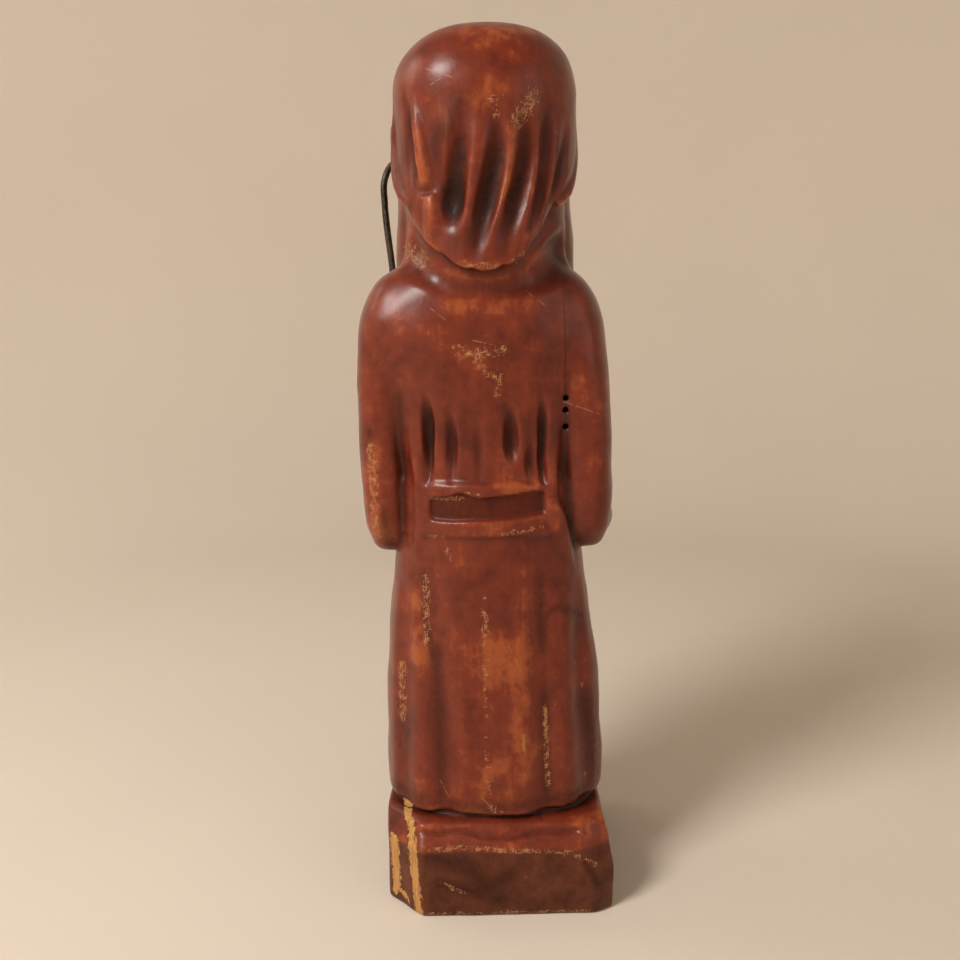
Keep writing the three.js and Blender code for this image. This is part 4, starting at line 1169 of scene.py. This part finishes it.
class StageSettings(bpy.types.PropertyGroup):
    floor_radius: bpy.props.FloatProperty(
        name="Floor radius", description="Radius of the flat floor", default=0.62, min=0.3, unit="LENGTH")
    wall_height: bpy.props.FloatProperty(
        name="Wall height", description="Height of the backdrop", default=1.5, min=0.3, unit="LENGTH")
    paper: tint("Paper", "Colour of the floor and backdrop", (0.7, 0.61, 0.51))
    key_power: bpy.props.FloatProperty(
        name="Key light", description="Power of the large light over the left shoulder", default=13.4, min=0, unit="POWER")
    fill_power: bpy.props.FloatProperty(
        name="Fill light", description="Power of the weak light from the right", default=0.7, min=0, unit="POWER")
    backdrop_power: bpy.props.FloatProperty(
        name="Backdrop light", description="Power of the light on the left of the backdrop", default=3, min=0,
        unit="POWER")
    sky: bpy.props.FloatProperty(
        name="Room light", description="Strength of the soft light all round", default=0.17, min=0)


class FIGURE_OT_carve(bpy.types.Operator):
    """Carve the robed figure and its plinth from one block and varnish it"""
    bl_idname = "figure.carve"
    bl_label = "Carve the Figure"

    def execute(self, context):
        settings = context.scene.carved_figure
        cell = settings.cell / MM * 1
        block = carve(cell, settings.lump_height / MM)
        points, faces = skin_of(block, cell)
        piece = new_object("carved_wood", mesh_of("carved_wood", points, faces))
        thinned(piece, settings.most_triangles)
        mesh = piece.data
        places = points_of(mesh)
        solid = np.clip(0.5 - block.field / (2 * cell), 0, 1)
        coarse = [axis[::2] for axis in block.axes]
        # How enclosed each point is, finely and broadly, and how deep it lies in the cuts: the varnish is darkened by
        # these, as dirt and painted shade
        hollow = sampled(blurred(solid, 1.6 / cell), block.axes, places) - 0.5
        recess = sampled(blurred(solid[::2, ::2, ::2], 5 / (2 * cell)), coarse, places) - 0.5
        give_values(mesh, "carved", np.maximum(0, -sampled(block.bare, block.axes, places)))
        give_values(mesh, "hollow", hollow * 2)
        give_values(mesh, "recess", recess * 2)
        for name, strokes in (("raw_wood", RAW_WOOD), ("orange_wood", ORANGE_WOOD),
                              ("black_grime", GRIME_AND_PAINTED_SHADE), ("pale_rubs", PALE_RUBS_AND_GLINTS)):
            give_values(mesh, name, mark_values(places, strokes))
        mesh.materials.append(varnished_wood(settings))
        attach(piece, "root")
        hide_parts("carved_figure")
        return {"FINISHED"}


class FIGURE_OT_crook(bpy.types.Operator):
    """Bend the wire crook that stands in the left fist"""
    bl_idname = "figure.crook"
    bl_label = "Bend the Wire Crook"

    def execute(self, context):
        settings = context.scene.wire_crook
        line = smooth_path(wire_stations(), 440)
        pits = np.random.default_rng(11).standard_normal((len(line), settings.sides))
        for _ in range(2):
            pits = (pits + np.roll(pits, 1, 0) + np.roll(pits, 1, 1) + np.roll(pits, -1, 0)) / 4
        along = np.gradient(line[:, :3], axis=0)
        along /= np.linalg.norm(along, axis=1)[:, None]
        across = np.cross((0, 1, 0), along)
        across /= np.linalg.norm(across, axis=1)[:, None]
        over = np.cross(along, across)
        turn = np.arange(settings.sides) / settings.sides * 2 * math.pi
        radius = line[:, 3:4] - settings.pit_depth / MM * np.clip(pits * 2, 0, 1.5)
        radius[[0, -1]] *= 0.8
        ring = across[:, None] * np.cos(turn)[None, :, None] + over[:, None] * np.sin(turn)[None, :, None]
        skin = line[:, None, :3] + ring * radius[..., None]
        ends = np.array([line[0, :3], line[-1, :3]])
        points = np.concatenate([skin.reshape(-1, 3), ends])
        sides = settings.sides
        faces = []
        for k in range(len(line) - 1):
            for j in range(sides):
                a, b = k * sides + j, k * sides + (j + 1) % sides
                faces += [[a, b, b + sides], [a, b + sides, a + sides]]
        start, end = len(points) - 2, len(points) - 1
        last = (len(line) - 1) * sides
        for j in range(sides):
            faces += [[start, (j + 1) % sides, j], [end, last + j, last + (j + 1) % sides]]
        piece = new_object("bent_wire", mesh_of("bent_wire", points, np.array(faces)))
        piece.data.materials.append(worn_steel(settings))
        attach(piece, "root")
        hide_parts("wire_crook")
        return {"FINISHED"}


def area_light(name, place, target, size, power, colour):
    lamp = bpy.data.lights.new(name, "AREA")
    lamp.shape, lamp.size, lamp.energy, lamp.color = "DISK", size, power, colour
    made = new_object(name, lamp)
    made.location = place
    made.rotation_euler = (Vector(target) - Vector(place)).to_track_quat("-Z", "Y").to_euler()


class FIGURE_OT_stage(bpy.types.Operator):
    """Set the paper, the lights and the camera"""
    bl_idname = "figure.stage"
    bl_label = "Set the Stage"

    def execute(self, context):
        settings = context.scene.figure_stage
        radius, height = settings.floor_radius, settings.wall_height
        bend = 0.45
        profile = [(radius * t, 0) for t in np.linspace(0.02, 1, 8)]
        profile += [(radius + bend * math.sin(a), bend * (1 - math.cos(a))) for a in np.linspace(0.1, math.pi / 2, 18)]
        profile += [(radius + bend, z) for z in np.linspace(bend + 0.1, height, 6)]
        count = 96
        points = [[r * math.cos(k / count * 2 * math.pi), r * math.sin(k / count * 2 * math.pi), z]
                  for r, z in profile for k in range(count)]
        points.append([0, 0, 0])
        faces = []
        for row in range(len(profile) - 1):
            for k in range(count):
                a, b = row * count + k, row * count + (k + 1) % count
                faces += [[a, a + count, b + count], [a, b + count, b]]
        faces += [[len(points) - 1, k, (k + 1) % count] for k in range(count)]
        bowl = new_object("paper_bowl", mesh_of("paper_bowl", np.array(points) / MM, np.array(faces)))
        bowl.data.materials.append(paper(settings))

        area_light("key", (0.7, 0.6, 0.95), (0, 0, 0.2), 0.42, settings.key_power, (1, 0.98, 0.95))
        area_light("fill", (-0.6, 0.5, 0.5), (0, 0, 0.2), 0.6, settings.fill_power, (1, 0.98, 0.95))
        area_light("backdrop light", (1, -0.35, 0.9), (0.3, -1, 0.25), 0.5, settings.backdrop_power, (1, 0.98, 0.95))
        world = bpy.data.worlds.new("Room")
        context.scene.world = world
        world.use_nodes = True
        background = world.node_tree.nodes["Background"]
        background.inputs["Color"].default_value = (1, 0.98, 0.95, 1)
        background.inputs["Strength"].default_value = settings.sky
        context.scene.view_settings.view_transform = "Standard"

        eye = bpy.data.cameras.new("Camera")
        eye.lens, eye.sensor_width = 36.04, 36
        eye.clip_start, eye.clip_end = 0.01, 20
        camera = new_object("Camera", eye)
        camera.location = (0.0042, 0.4277, 0.2664)
        turn = Matrix.Rotation(math.pi, 3, "Z") @ Matrix.Rotation(math.radians(90 - 10.6), 3, "X")
        camera.rotation_euler = (turn @ Matrix.Rotation(math.radians(-1.1), 3, "Z")).to_euler()
        context.scene.camera = camera
        return {"FINISHED"}


class FIGURE_PT_panel(bpy.types.Panel):
    bl_idname = "FIGURE_PT_panel"
    bl_label = "Carved Figure"
    bl_space_type = "VIEW_3D"
    bl_region_type = "UI"
    bl_category = "Figure"

    def draw(self, context):
        for group, operator in PIECES:
            box = self.layout.box()
            settings = getattr(context.scene, group)
            for name in settings.__annotations__:
                box.prop(settings, name)
            box.operator(operator)


PIECES = [("carved_figure", "figure.carve"), ("wire_crook", "figure.crook"), ("figure_stage", "figure.stage")]
CLASSES = [CarvedFigureSettings, WireCrookSettings, StageSettings,
           FIGURE_OT_carve, FIGURE_OT_crook, FIGURE_OT_stage, FIGURE_PT_panel]


def register():
    for each in CLASSES:
        bpy.utils.register_class(each)
    for (group, _), settings in zip(PIECES, CLASSES):
        setattr(bpy.types.Scene, group, bpy.props.PointerProperty(type=settings))


def unregister():
    for group, _ in PIECES:
        delattr(bpy.types.Scene, group)
    for each in reversed(CLASSES):
        bpy.utils.unregister_class(each)


def main():
    register()
    bpy.ops.figure.carve()
    bpy.ops.figure.crook()
    bpy.ops.figure.stage()


if __name__ == "__main__":
    main()
